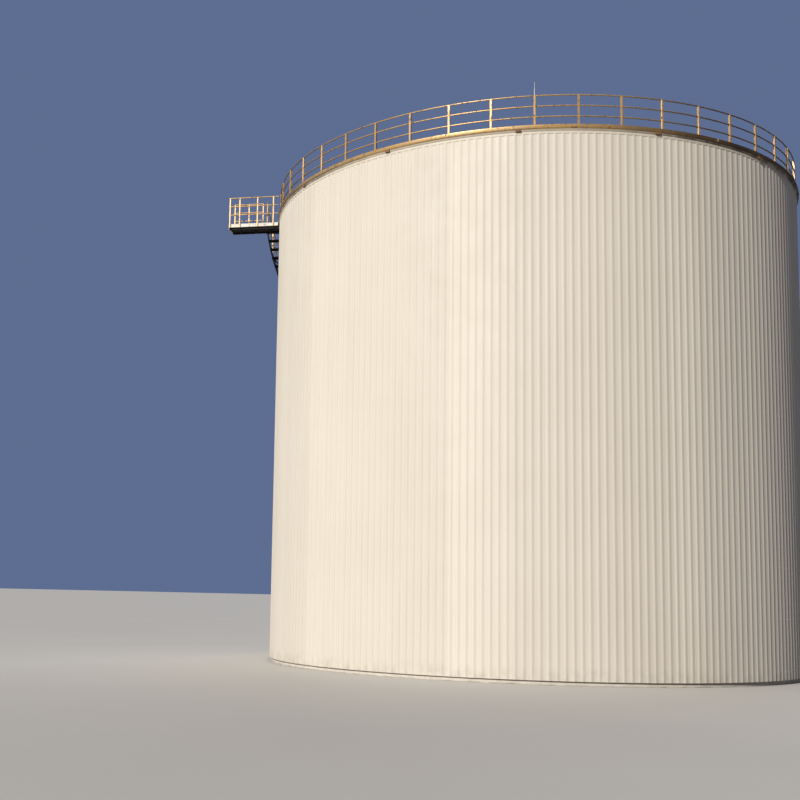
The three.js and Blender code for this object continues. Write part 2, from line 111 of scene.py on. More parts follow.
@dataclass(frozen=True)
class Solid:
    """A closed surface: its points, and its faces in arrays of point numbers by corner count."""

    points: Array
    faces: tuple[Array, ...]

    def outward(self) -> "Solid":
        """Turns all faces round if they point inwards.

        Six times the signed volume is the sum over fan triangles of a . (b x c), taken about the middle.

        Returns:
            The same solid with its faces pointing outwards.
        """
        centred = self.points - self.points.mean(axis=0)
        volume = 0.0
        for group in self.faces:
            corners = centred[group]
            cross = np.cross(corners[:, 1:-1], corners[:, 2:])
            volume += float(np.sum(corners[:, :1] * cross))
        if volume >= 0.0:
            return self
        return Solid(self.points, tuple(group[:, ::-1] for group in self.faces))

    def copies(self, places: Array) -> "Solid":
        """Repeats the solid at each place.

        Args:
            places: Matrices, (count, 4, 4), that carry a point p to R p + t.

        Returns:
            All the copies as one.
        """
        places = np.asarray(places, float).reshape(-1, 4, 4)
        turned_points = np.einsum("kij,nj->kni", places[:, :3, :3], self.points)
        points = (turned_points + places[:, None, :3, 3]).reshape(-1, 3)
        shift = np.arange(len(places))[:, None, None] * len(self.points)
        faces = tuple((group[None] + shift).reshape(-1, group.shape[1]) for group in self.faces)
        return Solid(points, faces)


def gather(solids: Sequence[Solid]) -> Solid:
    """Puts several solids into one list of points and faces.

    Args:
        solids: The solids, each closed in itself.

    Returns:
        One solid that holds them all.
    """
    points = np.concatenate([solid.points for solid in solids])
    starts = np.cumsum([0] + [len(solid.points) for solid in solids[:-1]])
    faces = [group + start for solid, start in zip(solids, starts) for group in solid.faces]
    return Solid(points, tuple(faces))


def sweep(outline: Array, origins: Array, across: Array, up: Array, closed: bool = False) -> Solid:
    """Carries a closed outline along a path.

    Point (i, j) is origin i, plus the outline's point j first value times across i, plus its second
    value times up i. A path that doesn't close gets a flat cap at each end.

    Args:
        outline: (corners, 2), or (stations, corners, 2) where it changes along the path.
        origins: (stations, 3), the path.
        across: Direction of the outline's first value, (3,) or (stations, 3).
        up: Direction of its second value, likewise.
        closed: Whether the last station joins the first.

    Returns:
        The swept solid.
    """
    origins = np.asarray(origins, float)
    stations = len(origins)
    outline = np.asarray(outline, float)
    outline = np.broadcast_to(outline, (stations, *outline.shape[-2:]))
    across = np.broadcast_to(across, (stations, 3))[:, None]
    up = np.broadcast_to(up, (stations, 3))[:, None]
    points = origins[:, None] + outline[..., :1] * across + outline[..., 1:] * up
    corners = outline.shape[1]
    here = np.arange(stations if closed else stations - 1)[:, None] * corners
    there = (here + corners) % (stations * corners)
    side = np.arange(corners)
    after = (side + 1) % corners
    quads = np.stack([here + side, here + after, there + after, there + side], axis=-1)
    faces = [quads.reshape(-1, 4)]
    if not closed:
        faces.append(np.stack([side[::-1], side + (stations - 1) * corners]))
    return Solid(points.reshape(-1, 3), tuple(faces)).outward()


def outward_at(azimuths: Array) -> Array:
    """Unit vectors away from the axis: (sine, minus cosine, 0) of each azimuth in degrees."""
    turn = np.radians(np.atleast_1d(azimuths))
    return np.stack([np.sin(turn), -np.cos(turn), np.zeros_like(turn)], axis=-1)


def equal_steps(first: float, count: int) -> Array:
    """Azimuths at equal steps all the way round."""
    return first + np.arange(count) * 360.0 / count


def numbered(stem: str, count: int) -> list[str]:
    """Names of CAD nodes that are numbered from 1."""
    return [f"{stem}_{number}" for number in range(1, count + 1)]


def revolve(outline: Array, azimuths: Array, levels: Any = 0.0, closed: bool = False) -> Solid:
    """Carries an outline of (distance from the axis, level) pairs round the axis.

    Args:
        outline: The section, or one for each azimuth.
        azimuths: Degrees. A full round leaves out its last azimuth and is closed.
        levels: Height added at each azimuth.
        closed: Whether it goes all the way round.

    Returns:
        The ring, or the arc with flat ends.
    """
    across = outward_at(azimuths)
    origins = np.zeros_like(across)
    origins[:, 2] = levels
    return sweep(outline, origins, across, Z_AXIS, closed)


def turned(profile: Sequence[tuple[float, float]], sides: int) -> Solid:
    """Turns a profile round Z. It starts and ends on the axis, where the faces meet in one point.

    Args:
        profile: (radius, height) pairs.
        sides: Facets in the round.

    Returns:
        The turned solid.
    """
    rows = np.asarray(profile, float)
    turn = np.arange(sides) * 2.0 * math.pi / sides
    ring = rows[1:-1]
    x, y = ring[:, :1] * np.cos(turn), ring[:, :1] * np.sin(turn)
    grid = np.stack([x, y, np.repeat(ring[:, 1:], sides, axis=1)], axis=-1).reshape(-1, 3)
    poles = np.array([[0.0, 0.0, rows[0, 1]], [0.0, 0.0, rows[-1, 1]]])
    side = np.arange(sides)
    after = (side + 1) % sides
    low = np.arange(len(ring) - 1)[:, None] * sides
    quads = np.stack([low + side, low + after, low + sides + after, low + sides + side], axis=-1)
    last = (len(ring) - 1) * sides
    start_pole = np.full(sides, len(grid))
    first_fan = np.stack([start_pole, after, side], axis=-1)
    last_fan = np.stack([start_pole + 1, last + side, last + after], axis=-1)
    fans = np.concatenate([first_fan, last_fan])
    return Solid(np.concatenate([grid, poles]), (quads.reshape(-1, 4), fans)).outward()


def circle(radius: float, sides: int) -> Array:
    """A regular outline with so many sides: (radius cos t, radius sin t) at equal turns."""
    turn = (np.arange(sides) + 0.5) * 2.0 * math.pi / sides
    return radius * np.stack([np.cos(turn), np.sin(turn)], axis=-1)


def tube(path: Array, radius: float, sides: int = 12) -> Solid:
    """Carries a circle along a path, square to it.

    The tangent is the path's difference from point to point. Across is the tangent crossed with the
    axis that the path runs least along, and up is across crossed with the tangent.

    Args:
        path: (stations, 3).
        radius: Radius of the pipe.
        sides: Facets in the round.

    Returns:
        The pipe with flat ends.
    """
    path = np.asarray(path, float)
    tangent = np.gradient(path, axis=0)
    tangent /= np.linalg.norm(tangent, axis=1, keepdims=True)
    across = np.cross(tangent, np.eye(3)[np.abs(tangent).max(axis=0).argmin()])
    across /= np.linalg.norm(across, axis=1, keepdims=True)
    return sweep(circle(radius, sides), path, across, np.cross(across, tangent))


def flat(low: Sequence[float], high: Sequence[float]) -> Solid:
    """A sharp-edged bar between two opposite corners, for shapes that are repeated often.

    Args:
        low: Its lowest corner.
        high: Its highest corner.

    Returns:
        The bar with eight corners.
    """
    (x0, y0, z0), (x1, y1, z1) = low, high
    outline = np.array([[x0, y0], [x1, y0], [x1, y1], [x0, y1]])
    origins = np.array([[0.0, 0.0, z0], [0.0, 0.0, z1]])
    return sweep(outline, origins, X_AXIS, Y_AXIS)


def clipped_rectangle(half_x: float, half_y: float, cut: float) -> Array:
    """A rectangle with its four corners cut off.

    Args:
        half_x: Half its width.
        half_y: Half its depth.
        cut: Length that each cut takes from both sides.

    Returns:
        (8, 2), going round.
    """
    corner = np.array([[half_x, half_y - cut], [half_x - cut, half_y]])
    return np.concatenate(
        [corner, (corner * [-1, 1])[::-1], corner * [-1, -1], (corner * [1, -1])[::-1]]
    )


def bar(low: Sequence[float], high: Sequence[float], chamfer: float = 0.003) -> Solid:
    """A bar between two opposite corners with all its edges eased.

    A rectangle with cut corners is carried upwards, and drawn in by the chamfer at both ends, where
    its corners keep three tenths of their cut.

    Args:
        low: Its lowest corner.
        high: Its highest corner.
        chamfer: Width taken off each edge.

    Returns:
        The bar.
    """
    low, high = np.asarray(low, float), np.asarray(high, float)
    middle, half = (low + high) / 2.0, (high - low) / 2.0
    full = clipped_rectangle(half[0], half[1], chamfer)
    drawn = clipped_rectangle(half[0] - chamfer, half[1] - chamfer, chamfer * 0.3)
    outline = np.stack([drawn, full, full, drawn])
    rise = np.array([-half[2], chamfer - half[2], half[2] - chamfer, half[2]])
    origins = middle + rise[:, None] * Z_AXIS
    return sweep(outline, origins, X_AXIS, Y_AXIS)


def bolt(radius: float, height: float, washer: float = 1.45) -> Solid:
    """A hexagon head on its washer, standing on the plane z = 0.

    Args:
        radius: Radius over the head's corners.
        height: Height of head and washer.
        washer: Washer radius as a share of the head's.

    Returns:
        The head with its foot slightly sunk.
    """
    rim, washer_top, head_foot = radius * washer, height * 0.2, height * 0.25
    profile = [(0, -washer_top), (rim, -washer_top), (rim, washer_top), (radius, head_foot),
               (radius, height), (0, height)]
    return turned(profile, 6)


def places_from(x: Array, y: Array, z: Array, origin: Array) -> Array:
    """Builds placing matrices from three axes and an origin.

    Args:
        x: Where the piece's own X points, (3,) or (count, 3).
        y: Likewise for Y.
        z: Likewise for Z.
        origin: Where its origin goes, likewise.

    Returns:
        (count, 4, 4).
    """
    count = max(len(np.atleast_2d(v)) for v in (x, y, z, origin))
    places = np.zeros((count, 4, 4))
    for column, vector in enumerate((x, y, z, origin)):
        places[:, :3, column] = vector
    places[:, 3, 3] = 1.0
    return places


def sideways_of(away: Array) -> Array:
    """Level directions square to these, to the right as seen from outside: (-y, x, 0) of (x, y, 0)."""
    return np.stack([-away[:, 1], away[:, 0], away[:, 2]], axis=-1)


def turned_to(azimuths: Array, levels: Any = 0.0) -> Array:
    """Places pieces that are drawn at the tank's front, at -Y, round it.

    Args:
        azimuths: Degrees.
        levels: Height added to each.

    Returns:
        (count, 4, 4) turns about the tank's axis.
    """
    away = outward_at(azimuths)
    origin = np.zeros_like(away)
    origin[:, 2] = levels
    return places_from(sideways_of(away), -away, Z_AXIS, origin)


def facing_out(azimuths: Array, radius: Any, levels: Any) -> Array:
    """Places pieces that are drawn standing on z = 0 so that they stand out from the wall.

    Args:
        azimuths: Degrees.
        radius: Distance of their foot from the axis.
        levels: Their height.

    Returns:
        (count, 4, 4).
    """
    away = outward_at(azimuths)
    origin = away * np.reshape(radius, (-1, 1))
    origin[:, 2] = levels
    return places_from(sideways_of(away), Z_AXIS, away, origin)


def at_points(points: Any) -> Array:
    """Places pieces unturned at points."""
    points = np.atleast_2d(np.asarray(points, float))
    return places_from(X_AXIS, Y_AXIS, Z_AXIS, points)


def make_mesh(name: str, solid: Solid) -> bpy.types.Mesh:
    """Puts a solid's arrays into a Blender mesh, smooth but for its sharp bends.

    Args:
        name: The mesh's name.
        solid: Points and faces.

    Returns:
        The mesh.
    """
    mesh = bpy.data.meshes.new(name)
    mesh.vertices.add(len(solid.points))
    mesh.vertices.foreach_set("co", solid.points.astype(np.float32).ravel())
    corners = np.concatenate([group.ravel() for group in solid.faces])
    counts = np.concatenate([np.full(len(group), group.shape[1]) for group in solid.faces])
    mesh.loops.add(len(corners))
    mesh.loops.foreach_set("vertex_index", corners.astype(np.int32))
    mesh.polygons.add(len(counts))
    mesh.polygons.foreach_set("loop_start", (np.cumsum(counts) - counts).astype(np.int32))
    mesh.update(calc_edges=True)
    mesh.validate()
    mesh.shade_smooth()
    mesh.set_sharp_from_angle(angle=SHARP_ANGLE)
    return mesh


@dataclass
class Workshop:
    """Makes the pieces: gives each its mesh and its finish, hangs it on the tank and hides the CAD nodes
    that it stands for.
    """

    finishes: dict[Slot, bpy.types.Material]
    made: int = 0

    def piece(self, name: str, solids: Sequence[Solid], slot: Slot, replaces: Sequence[str] = (),
              values: dict[str, Array] | None = None, finish: "Finish | None" = None) -> bpy.types.Object:
        """Makes one piece of the tank.

        Args:
            name: Its name.
            solids: The closed surfaces that it is made of.
            slot: The finish that it wears.
            replaces: CAD nodes that it stands for.
            values: Numbers for each point, by attribute name.
            finish: What it wears instead of its slot's own finish.

        Returns:
            The piece, riding on the tank.
        """
        mesh = make_mesh(name, gather(solids))
        for title, numbers in (values or {}).items():
            attribute = mesh.attributes.new(title, "FLOAT", "POINT")
            attribute.data.foreach_set("value", numbers.astype(np.float32))
        mesh.materials.append(finish.material() if finish else self.finishes[slot])
        piece = bpy.data.objects.new(name, mesh)
        bpy.context.scene.collection.objects.link(piece)
        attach(piece, "root")
        if replaces:
            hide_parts(*replaces)
        self.made += 1
        mesh.calc_loop_triangles()
        log.info("%-26s %6d triangles", name, len(mesh.loop_triangles))
        return piece


# Finishes


class Graph:
    """Adds nodes to one node tree and wires them as they are added."""

    def __init__(self, tree: bpy.types.NodeTree) -> None:
        """Takes over the tree of a material or of a group, and empties it."""
        self.tree = tree
        tree.nodes.clear()

    def add(self, kind: str, inputs: dict[Any, Any] | None = None, **settings: Any) -> bpy.types.Node:
        """Adds one node.

        Args:
            kind: Its type, as Blender names it.
            inputs: Values or output sockets for its inputs, by name or number.
            **settings: Its other properties.

        Returns:
            The node.
        """
        node = self.tree.nodes.new(kind)
        for key, value in settings.items():
            setattr(node, key, value)
        for key, value in (inputs or {}).items():
            if isinstance(value, bpy.types.NodeSocket):
                self.tree.links.new(value, node.inputs[key])
            else:
                node.inputs[key].default_value = value
        return node

    def math(self, operation: str, *values: Any) -> bpy.types.NodeSocket:
        """Does one sum on numbers or sockets, under Blender's name for it."""
        return self.add("ShaderNodeMath", dict(enumerate(values)), operation=operation).outputs[0]

    def times(self, first: Any, second: Any) -> bpy.types.NodeSocket:
        """Multiplies two numbers."""
        return self.math("MULTIPLY", first, second)

    def attribute(self, name: str) -> bpy.types.NodeSocket:
        """Reads a number that the mesh holds for each point."""
        return self.add("ShaderNodeAttribute", attribute_name=name).outputs["Fac"]

    def noise(self, point: Any, scale: Any, detail: Any) -> bpy.types.NodeSocket:
        """Takes noise, between 0 and 1, at a point."""
        return self.add("ShaderNodeTexNoise", {"Vector": point, "Scale": scale, "Detail": detail}).outputs[0]

    def ramp(self, value: Any, low: Any, high: Any, to_low: Any = 0.0,
             to_high: Any = 1.0) -> bpy.types.NodeSocket:
        """Maps the range from low to high smoothly onto to_low to to_high, and stops at its ends."""
        inputs = {0: value, 1: low, 2: high, 3: to_low, 4: to_high}
        return self.add("ShaderNodeMapRange", inputs, interpolation_type="SMOOTHSTEP").outputs[0]

    def mix(self, share: Any, first: Any, second: Any, blend: str = "MIX") -> bpy.types.NodeSocket:
        """Mixes two colours.

        Args:
            share: How much of the second shows.
            first: Colour at share 0.
            second: Colour at share 1.
            blend: How the second lies over the first.

        Returns:
            The mixed colour.
        """
        colours = [c if isinstance(c, bpy.types.NodeSocket) else (*c, 1.0) for c in (first, second)]
        inputs = {0: share, 6: colours[0], 7: colours[1]}
        return self.add("ShaderNodeMix", inputs, data_type="RGBA", blend_type=blend).outputs[2]

    def place(self, effect: "Effect", point: Any, **numbers: Any) -> bpy.types.NodeSocket:
        """Asks a shared effect for its value at a point of the tank, with its numbers by name."""
        inputs = {"Place": point, **numbers}
        return self.add("ShaderNodeGroup", inputs, node_tree=effect.tree()).outputs[0]


@dataclass(frozen=True)
class Effect:
    """A change over the surface that several finishes share, as a node group."""

    title: str
    numbers: tuple[tuple[str, float], ...]
    output: str

    def tree(self) -> bpy.types.NodeTree:
        """Finds the group, or builds it the first time.

        Returns:
            The node group.
        """
        found = bpy.data.node_groups.get(self.title)
        if found:
            return found
        tree = bpy.data.node_groups.new(self.title, "ShaderNodeTree")
        tree.interface.new_socket("Place", in_out="INPUT", socket_type="NodeSocketVector")
        for name, value in self.numbers:
            socket = tree.interface.new_socket(name, in_out="INPUT", socket_type="NodeSocketFloat")
            socket.default_value = value
        tree.interface.new_socket(self.output, in_out="OUTPUT", socket_type="NodeSocketFloat")
        graph = Graph(tree)
        source = graph.add("NodeGroupInput")
        graph.add("NodeGroupOutput", {self.output: self.wire(graph, source)})
        return tree

    def wire(self, graph: Graph, source: bpy.types.Node) -> bpy.types.NodeSocket:
        """Wires the inside of the group and gives what the group puts out."""
        raise NotImplementedError


@dataclass(frozen=True)
class Runs(Effect):
    """Upright runs of dirt: noise squeezed along Z, and cut to its higher part."""

    title: str = "upright_runs"
    numbers: tuple[tuple[str, float], ...] = (("Across", 6.0), ("Along", 0.3), ("Low", 0.5), ("High", 0.75))
    output: str = "Mask"

    def wire(self, graph: Graph, source: bpy.types.Node) -> bpy.types.NodeSocket:
        """Stretches the place, takes noise there and ramps it from Low to High.

        Args:
            graph: The group's nodes.
            source: Its input node.

        Returns:
            The mask.
        """
        out = source.outputs
        scale = graph.add("ShaderNodeCombineXYZ", {0: out["Across"], 1: out["Across"], 2: out["Along"]})
        inputs = {0: out["Place"], 1: scale.outputs[0]}
        point = graph.add("ShaderNodeVectorMath", inputs, operation="MULTIPLY").outputs[0]
        return graph.ramp(graph.noise(point, 1.0, 4.0), out["Low"], out["High"])


@dataclass(frozen=True)
class Drift(Effect):
    """Slow drift of tone: wide noise between 0 and 1."""

    title: str = "tone_drift"
    numbers: tuple[tuple[str, float], ...] = (("Scale", 0.6), ("Detail", 3.0))
    output: str = "Share"

    def wire(self, graph: Graph, source: bpy.types.Node) -> bpy.types.NodeSocket:
        """Takes noise at the place and spreads its middle over the full range."""
        out = source.outputs
        return graph.ramp(graph.noise(out["Place"], out["Scale"], out["Detail"]), 0.3, 0.7)


@dataclass(frozen=True)
class Grain(Effect):
    """Fine grain for bump: two scales of noise added."""

    title: str = "fine_grain"
    numbers: tuple[tuple[str, float], ...] = (("Scale", 200.0), ("Coarse", 0.15))
    output: str = "Height"

    def wire(self, graph: Graph, source: bpy.types.Node) -> bpy.types.NodeSocket:
        """Adds noise at the scale and at a coarse share of it, half and half.

        Args:
            graph: The group's nodes.
            source: Its input node.

        Returns:
            The height.
        """
        out = source.outputs
        fine = graph.noise(out["Place"], out["Scale"], 2.0)
        wide = graph.noise(out["Place"], graph.times(out["Scale"], out["Coarse"]), 3.0)
        return graph.times(graph.math("ADD", fine, wide), 0.5)


@dataclass(frozen=True)
class Chips(Effect):
    """Chipped and rusted spots: clumps of small noise inside larger noise."""

    title: str = "chipped_spots"
    numbers: tuple[tuple[str, float], ...] = (("Scale", 14.0), ("Share", 0.3))
    output: str = "Mask"

    def wire(self, graph: Graph, source: bpy.types.Node) -> bpy.types.NodeSocket:
        """Multiplies wide noise by noise four times as fine and by 2.6; keeps what passes 1 less Share.

        Args:
            graph: The group's nodes.
            source: Its input node.

        Returns:
            The mask.
        """
        out = source.outputs
        wide = graph.noise(out["Place"], out["Scale"], 2.0)
        fine = graph.noise(out["Place"], graph.times(out["Scale"], 4.0), 5.0)
        both = graph.times(graph.times(wide, fine), 2.6)
        edge = graph.math("SUBTRACT", 1.0, out["Share"])
        return graph.ramp(both, edge, graph.math("ADD", edge, 0.08))


RUNS = Runs()
DRIFT = Drift()
GRAIN = Grain()
CHIPS = Chips()


@dataclass(frozen=True)
class Finish:
    """What all finishes have: a name, a base colour and a gloss."""

    name: str
    colour: Colour
    roughness: float
    metallic: float = 0.0
    specular: float = 0.5

    def material(self) -> bpy.types.Material:
        """Builds the finish.

        Returns:
            A material on a Principled shader.
        """
        made = bpy.data.materials.new(self.name)
        made.use_nodes = True
        graph = Graph(made.node_tree)
        place = graph.add("ShaderNodeTexCoord").outputs["Object"]
        shader = graph.add("ShaderNodeBsdfPrincipled")
        shader.inputs["Metallic"].default_value = self.metallic
        shader.inputs["Specular IOR Level"].default_value = self.specular
        colour, roughness, height, depth = self.surface(graph, place)
        bump = graph.add("ShaderNodeBump", {"Height": height, "Distance": depth, "Strength": 1.0})
        links = made.node_tree.links
        links.new(colour, shader.inputs["Base Color"])
        links.new(roughness, shader.inputs["Roughness"])
        links.new(bump.outputs[0], shader.inputs["Normal"])
        graph.add("ShaderNodeOutputMaterial", {"Surface": shader.outputs[0]})
        return made

    def surface(self, graph: Graph, place: bpy.types.NodeSocket) -> tuple[Any, Any, Any, float]:
        """Wires what changes over the surface; the depth that it gives is in metres."""
        raise NotImplementedError


@dataclass(frozen=True)
class CoilCoating(Finish):
    """Cream coil coating on ribbed sheet, with dirt and painted shade in the corners of the ribs."""

    drift: Colour = (0.72, 0.66, 0.55)
    grime: Colour = (0.23, 0.18, 0.13)
    sheet_contrast: float = 0.07
    corner_dirt_and_shade: float = 0.2
    run_dirt: float = 0.08
    run_length: float = 5.0
    splash_top: float = 0.6
    grain_depth: float = 0.0002

    def surface(self, graph: Graph, place: bpy.types.NodeSocket) -> tuple[Any, Any, Any, float]:
        """Drifts the cream, lightens or darkens each sheet, and lays dirt with painted shade in corners, and
        dirt in runs and splashes.

        Args:
            graph: The material's nodes.
            place: The point's place on the tank.

        Returns:
            Base colour, roughness, bump height and its depth.
        """
        level = graph.add("ShaderNodeSeparateXYZ", {0: place}).outputs[2]
        share = graph.place(DRIFT, place, Scale=0.35)
        cream = graph.mix(graph.times(share, 0.2), self.colour, self.drift)
        grey = graph.ramp(graph.attribute("sheet_tone"), 0.0, 1.0, 1.0 - self.sheet_contrast, 1.0)
        shade = graph.add("ShaderNodeCombineXYZ", {0: grey, 1: grey, 2: grey}).outputs[0]
        cream = graph.mix(1.0, cream, shade, "MULTIPLY")
        # Dirt and painted shade: the corner values darken the cream towards the grime colour along the ribs,
        # most at the foot of each shaded flank.
        corner = graph.attribute("corner")
        worn = graph.place(RUNS, place, Across=3.0, Along=0.5, Low=0.25, High=0.75)
        corner = graph.times(corner, graph.ramp(worn, 0.0, 1.0, 0.55, 1.0))
        cream = graph.mix(graph.times(corner, self.corner_dirt_and_shade), cream, self.grime)
        runs = graph.place(RUNS, place, Across=7.0, Along=0.16)
        from_top = graph.ramp(level, TANK.rim_level - self.run_length, TANK.rim_level, 0.15, 1.0)
        runs = graph.times(graph.times(runs, from_top), self.run_dirt)
        splash = graph.place(RUNS, place, Across=5.0, Along=3.0, Low=0.35, High=0.8)
        splash = graph.times(splash, graph.ramp(level, TANK.plinth_top, self.splash_top, 0.3, 0.0))
        cream = graph.mix(graph.math("MAXIMUM", runs, splash), cream, self.grime)
        gloss = graph.place(DRIFT, place, Scale=1.4)
        roughness = graph.ramp(gloss, 0.0, 1.0, self.roughness, self.roughness + 0.1)
        height = graph.place(GRAIN, place, Scale=260.0, Coarse=0.05)
        return cream, roughness, height, self.grain_depth


@dataclass(frozen=True)
class BrushPaint(Finish):
    """Paint on steel: faded in patches, with grime runs, painted shade by place and rusted chips."""

    faded: Colour = (0.6, 0.5, 0.4)
    painted_shade: Colour = (0.035, 0.03, 0.028)
    grime: Colour = (0.12, 0.08, 0.05)
    rust: Colour = (0.16, 0.055, 0.02)
    run_dirt: float = 0.3
    chips: float = 0.1
    dull_roughness: float = 0.85
    chip_depth: float = 0.0003

    def surface(self, graph: Graph, place: bpy.types.NodeSocket) -> tuple[Any, Any, Any, float]:
        """Mixes fresh and faded paint, then grime in runs, painted shade, and rust in the chips, which are
        dull.

        Args:
            graph: The material's nodes.
            place: The point's place on the tank.

        Returns:
            Base colour, roughness, bump height and its depth.
        """
        share = graph.place(DRIFT, place, Scale=1.7)
        paint = graph.mix(graph.times(share, 0.6), self.colour, self.faded)
        runs = graph.place(RUNS, place, Across=9.0, Along=2.2, Low=0.45, High=0.8)
        paint = graph.mix(graph.times(runs, self.run_dirt), paint, self.grime)
        # Painted shade: the mesh's painted_shade values pull the paint towards this near-black colour where
        # the rim and rail face away from the key light.
        paint = graph.mix(graph.attribute("painted_shade"), paint, self.painted_shade)
        chips = graph.place(CHIPS, place, Scale=11.0, Share=self.chips)
        paint = graph.mix(chips, paint, self.rust)
        dull = graph.math("MAXIMUM", chips, graph.times(runs, 0.5))
        roughness = graph.ramp(dull, 0.0, 1.0, self.roughness, self.dull_roughness)
        grain = graph.place(GRAIN, place, Scale=320.0)
        height = graph.math("SUBTRACT", grain, graph.times(chips, 1.5))
        return paint, roughness, height, self.chip_depth


@dataclass(frozen=True)
class CastConcrete(Finish):
    """Pale cast concrete: mottled, with pores and damp low down."""

    dark: Colour = (0.5, 0.46, 0.4)
    damp: Colour = (0.2, 0.175, 0.15)
    damp_height: float = 0.04
    pore_depth: float = 0.0012

    def surface(self, graph: Graph, place: bpy.types.NodeSocket) -> tuple[Any, Any, Any, float]:
        """Mottles two greys, darkens the foot where it is damp, and pits the skin with pores.

        Args:
            graph: The material's nodes.
            place: The point's place on the tank.

        Returns:
            Base colour, roughness, bump height and its depth.
        """
        level = graph.add("ShaderNodeSeparateXYZ", {0: place}).outputs[2]
        share = graph.place(DRIFT, place, Scale=3.0, Detail=6.0)
        grey = graph.mix(graph.times(share, 0.5), self.colour, self.dark)
        soaked = graph.place(RUNS, place, Across=4.0, Along=4.0, Low=0.3, High=0.7)
        foot = graph.times(soaked, graph.ramp(level, 0.0, self.damp_height, 0.7, 0.0))
        grey = graph.mix(foot, grey, self.damp)
        pores = graph.place(CHIPS, place, Scale=30.0, Share=0.16)
        grey = graph.mix(graph.times(pores, 0.6), grey, self.dark)
        roughness = graph.ramp(share, 0.0, 1.0, self.roughness, self.roughness - 0.12)
        height = graph.math("SUBTRACT", graph.place(GRAIN, place, Scale=150.0), pores)
        return grey, roughness, height, self.pore_depth


@dataclass(frozen=True)
class RolledSteel(Finish):
    """Bare or galvanised steel: clouded, brushed and slightly rusted."""

    cloud: Colour = (0.2, 0.2, 0.2)
    rust: Colour = (0.17, 0.07, 0.03)
    dull_roughness: float = 0.8
    brush_depth: float = 0.0001

    def surface(self, graph: Graph, place: bpy.types.NodeSocket) -> tuple[Any, Any, Any, float]:
        """Clouds two greys, adds a few rusted spots and an upright brushing.

        Args:
            graph: The material's nodes.
            place: The point's place on the tank.

        Returns:
            Base colour, roughness, bump height and its depth.
        """
        share = graph.place(DRIFT, place, Scale=6.0, Detail=5.0)
        steel = graph.mix(share, self.colour, self.cloud)
        chips = graph.place(CHIPS, place, Scale=9.0, Share=0.14)
        steel = graph.mix(chips, steel, self.rust)
        brush = graph.place(RUNS, place, Across=160.0, Along=6.0, Low=0.2, High=0.8)
        dull = graph.math("MAXIMUM", chips, graph.times(share, 0.4))
        roughness = graph.ramp(dull, 0.0, 1.0, self.roughness, self.dull_roughness)
        return steel, roughness, brush, self.brush_depth


@dataclass(frozen=True)
class PaleFloor(Finish):
    """Plain pale floor with the faintest drift of tone, which throws back less light than it shows."""

    second: Colour = (0.63, 0.61, 0.58)
    thrown: Colour = (0.28, 0.265, 0.24)
    grain_depth: float = 0.001

    def surface(self, graph: Graph, place: bpy.types.NodeSocket) -> tuple[Any, Any, Any, float]:
        """Drifts between two near tones as seen, and is darker to light that bounces.

        Args:
            graph: The material's nodes.
            place: The point's place on the tank.

        Returns:
            Base colour, roughness, bump height and its depth.
        """
        share = graph.place(DRIFT, place, Scale=0.2)
        grain = graph.place(GRAIN, place, Scale=30.0)
        tone = graph.mix(graph.times(share, 0.3), self.colour, self.second)
        seen = graph.add("ShaderNodeLightPath").outputs["Is Camera Ray"]
        tone = graph.mix(seen, self.thrown, tone)
        roughness = graph.ramp(share, 0.0, 1.0, self.roughness, self.roughness + 0.02)
        return tone, roughness, grain, self.grain_depth


FINISHES: dict[Slot, Finish] = {
    Slot.CLADDING: CoilCoating("cream_coil_coating", (0.84, 0.785, 0.69), 0.5, specular=0.3),
    Slot.CONCRETE: CastConcrete("pale_cast_concrete", (0.8, 0.75, 0.66), 0.92, specular=0.3),
    Slot.GOLDEN: BrushPaint("golden_paint", (0.66, 0.42, 0.17), 0.42, metallic=0.4,
                            faded=(0.54, 0.39, 0.22), grime=(0.13, 0.075, 0.04)),
    Slot.WHITE: BrushPaint("off_white_paint", (0.8, 0.77, 0.7), 0.38, faded=(0.7, 0.67, 0.6),
                           grime=(0.3, 0.25, 0.19), run_dirt=0.25, chips=0.08),
    Slot.DARK: BrushPaint("dark_paint", (0.02, 0.022, 0.027), 0.78, specular=0.15,
                          faded=(0.032, 0.033, 0.037), grime=(0.045, 0.038, 0.03),
                          rust=(0.08, 0.032, 0.015), chips=0.13),
    Slot.ROOFING: BrushPaint("weathered_roof_sheet", (0.46, 0.455, 0.43), 0.45, metallic=0.2,
                             faded=(0.36, 0.36, 0.34), grime=(0.16, 0.14, 0.12),
                             rust=(0.2, 0.1, 0.05), chips=0.05),
    Slot.STEEL: RolledSteel("dull_steel", (0.36, 0.365, 0.37), 0.42, metallic=0.9),
}


# Cream whose near-black grime colour, led by the corner values, is partly dirt and partly painted shade on
# the rim's flare and trim.
STAINED_AND_SHADED_CREAM = CoilCoating("stained_and_shaded_cream", (0.82, 0.75, 0.63), 0.5,
                            grime=(0.06, 0.04, 0.03), corner_dirt_and_shade=1.0)
WEATHERED_SHEET = BrushPaint("weathered_sheet", (0.2, 0.175, 0.145), 0.7, specular=0.2,
                             faded=(0.27, 0.24, 0.2), grime=(0.09, 0.07, 0.05), chips=0.12)
RUSTED_SPOUT = BrushPaint("rusted_spout", (0.3, 0.17, 0.07), 0.6,
                          faded=(0.2, 0.1, 0.05), grime=(0.09, 0.05, 0.03))


# Sub-assemblies


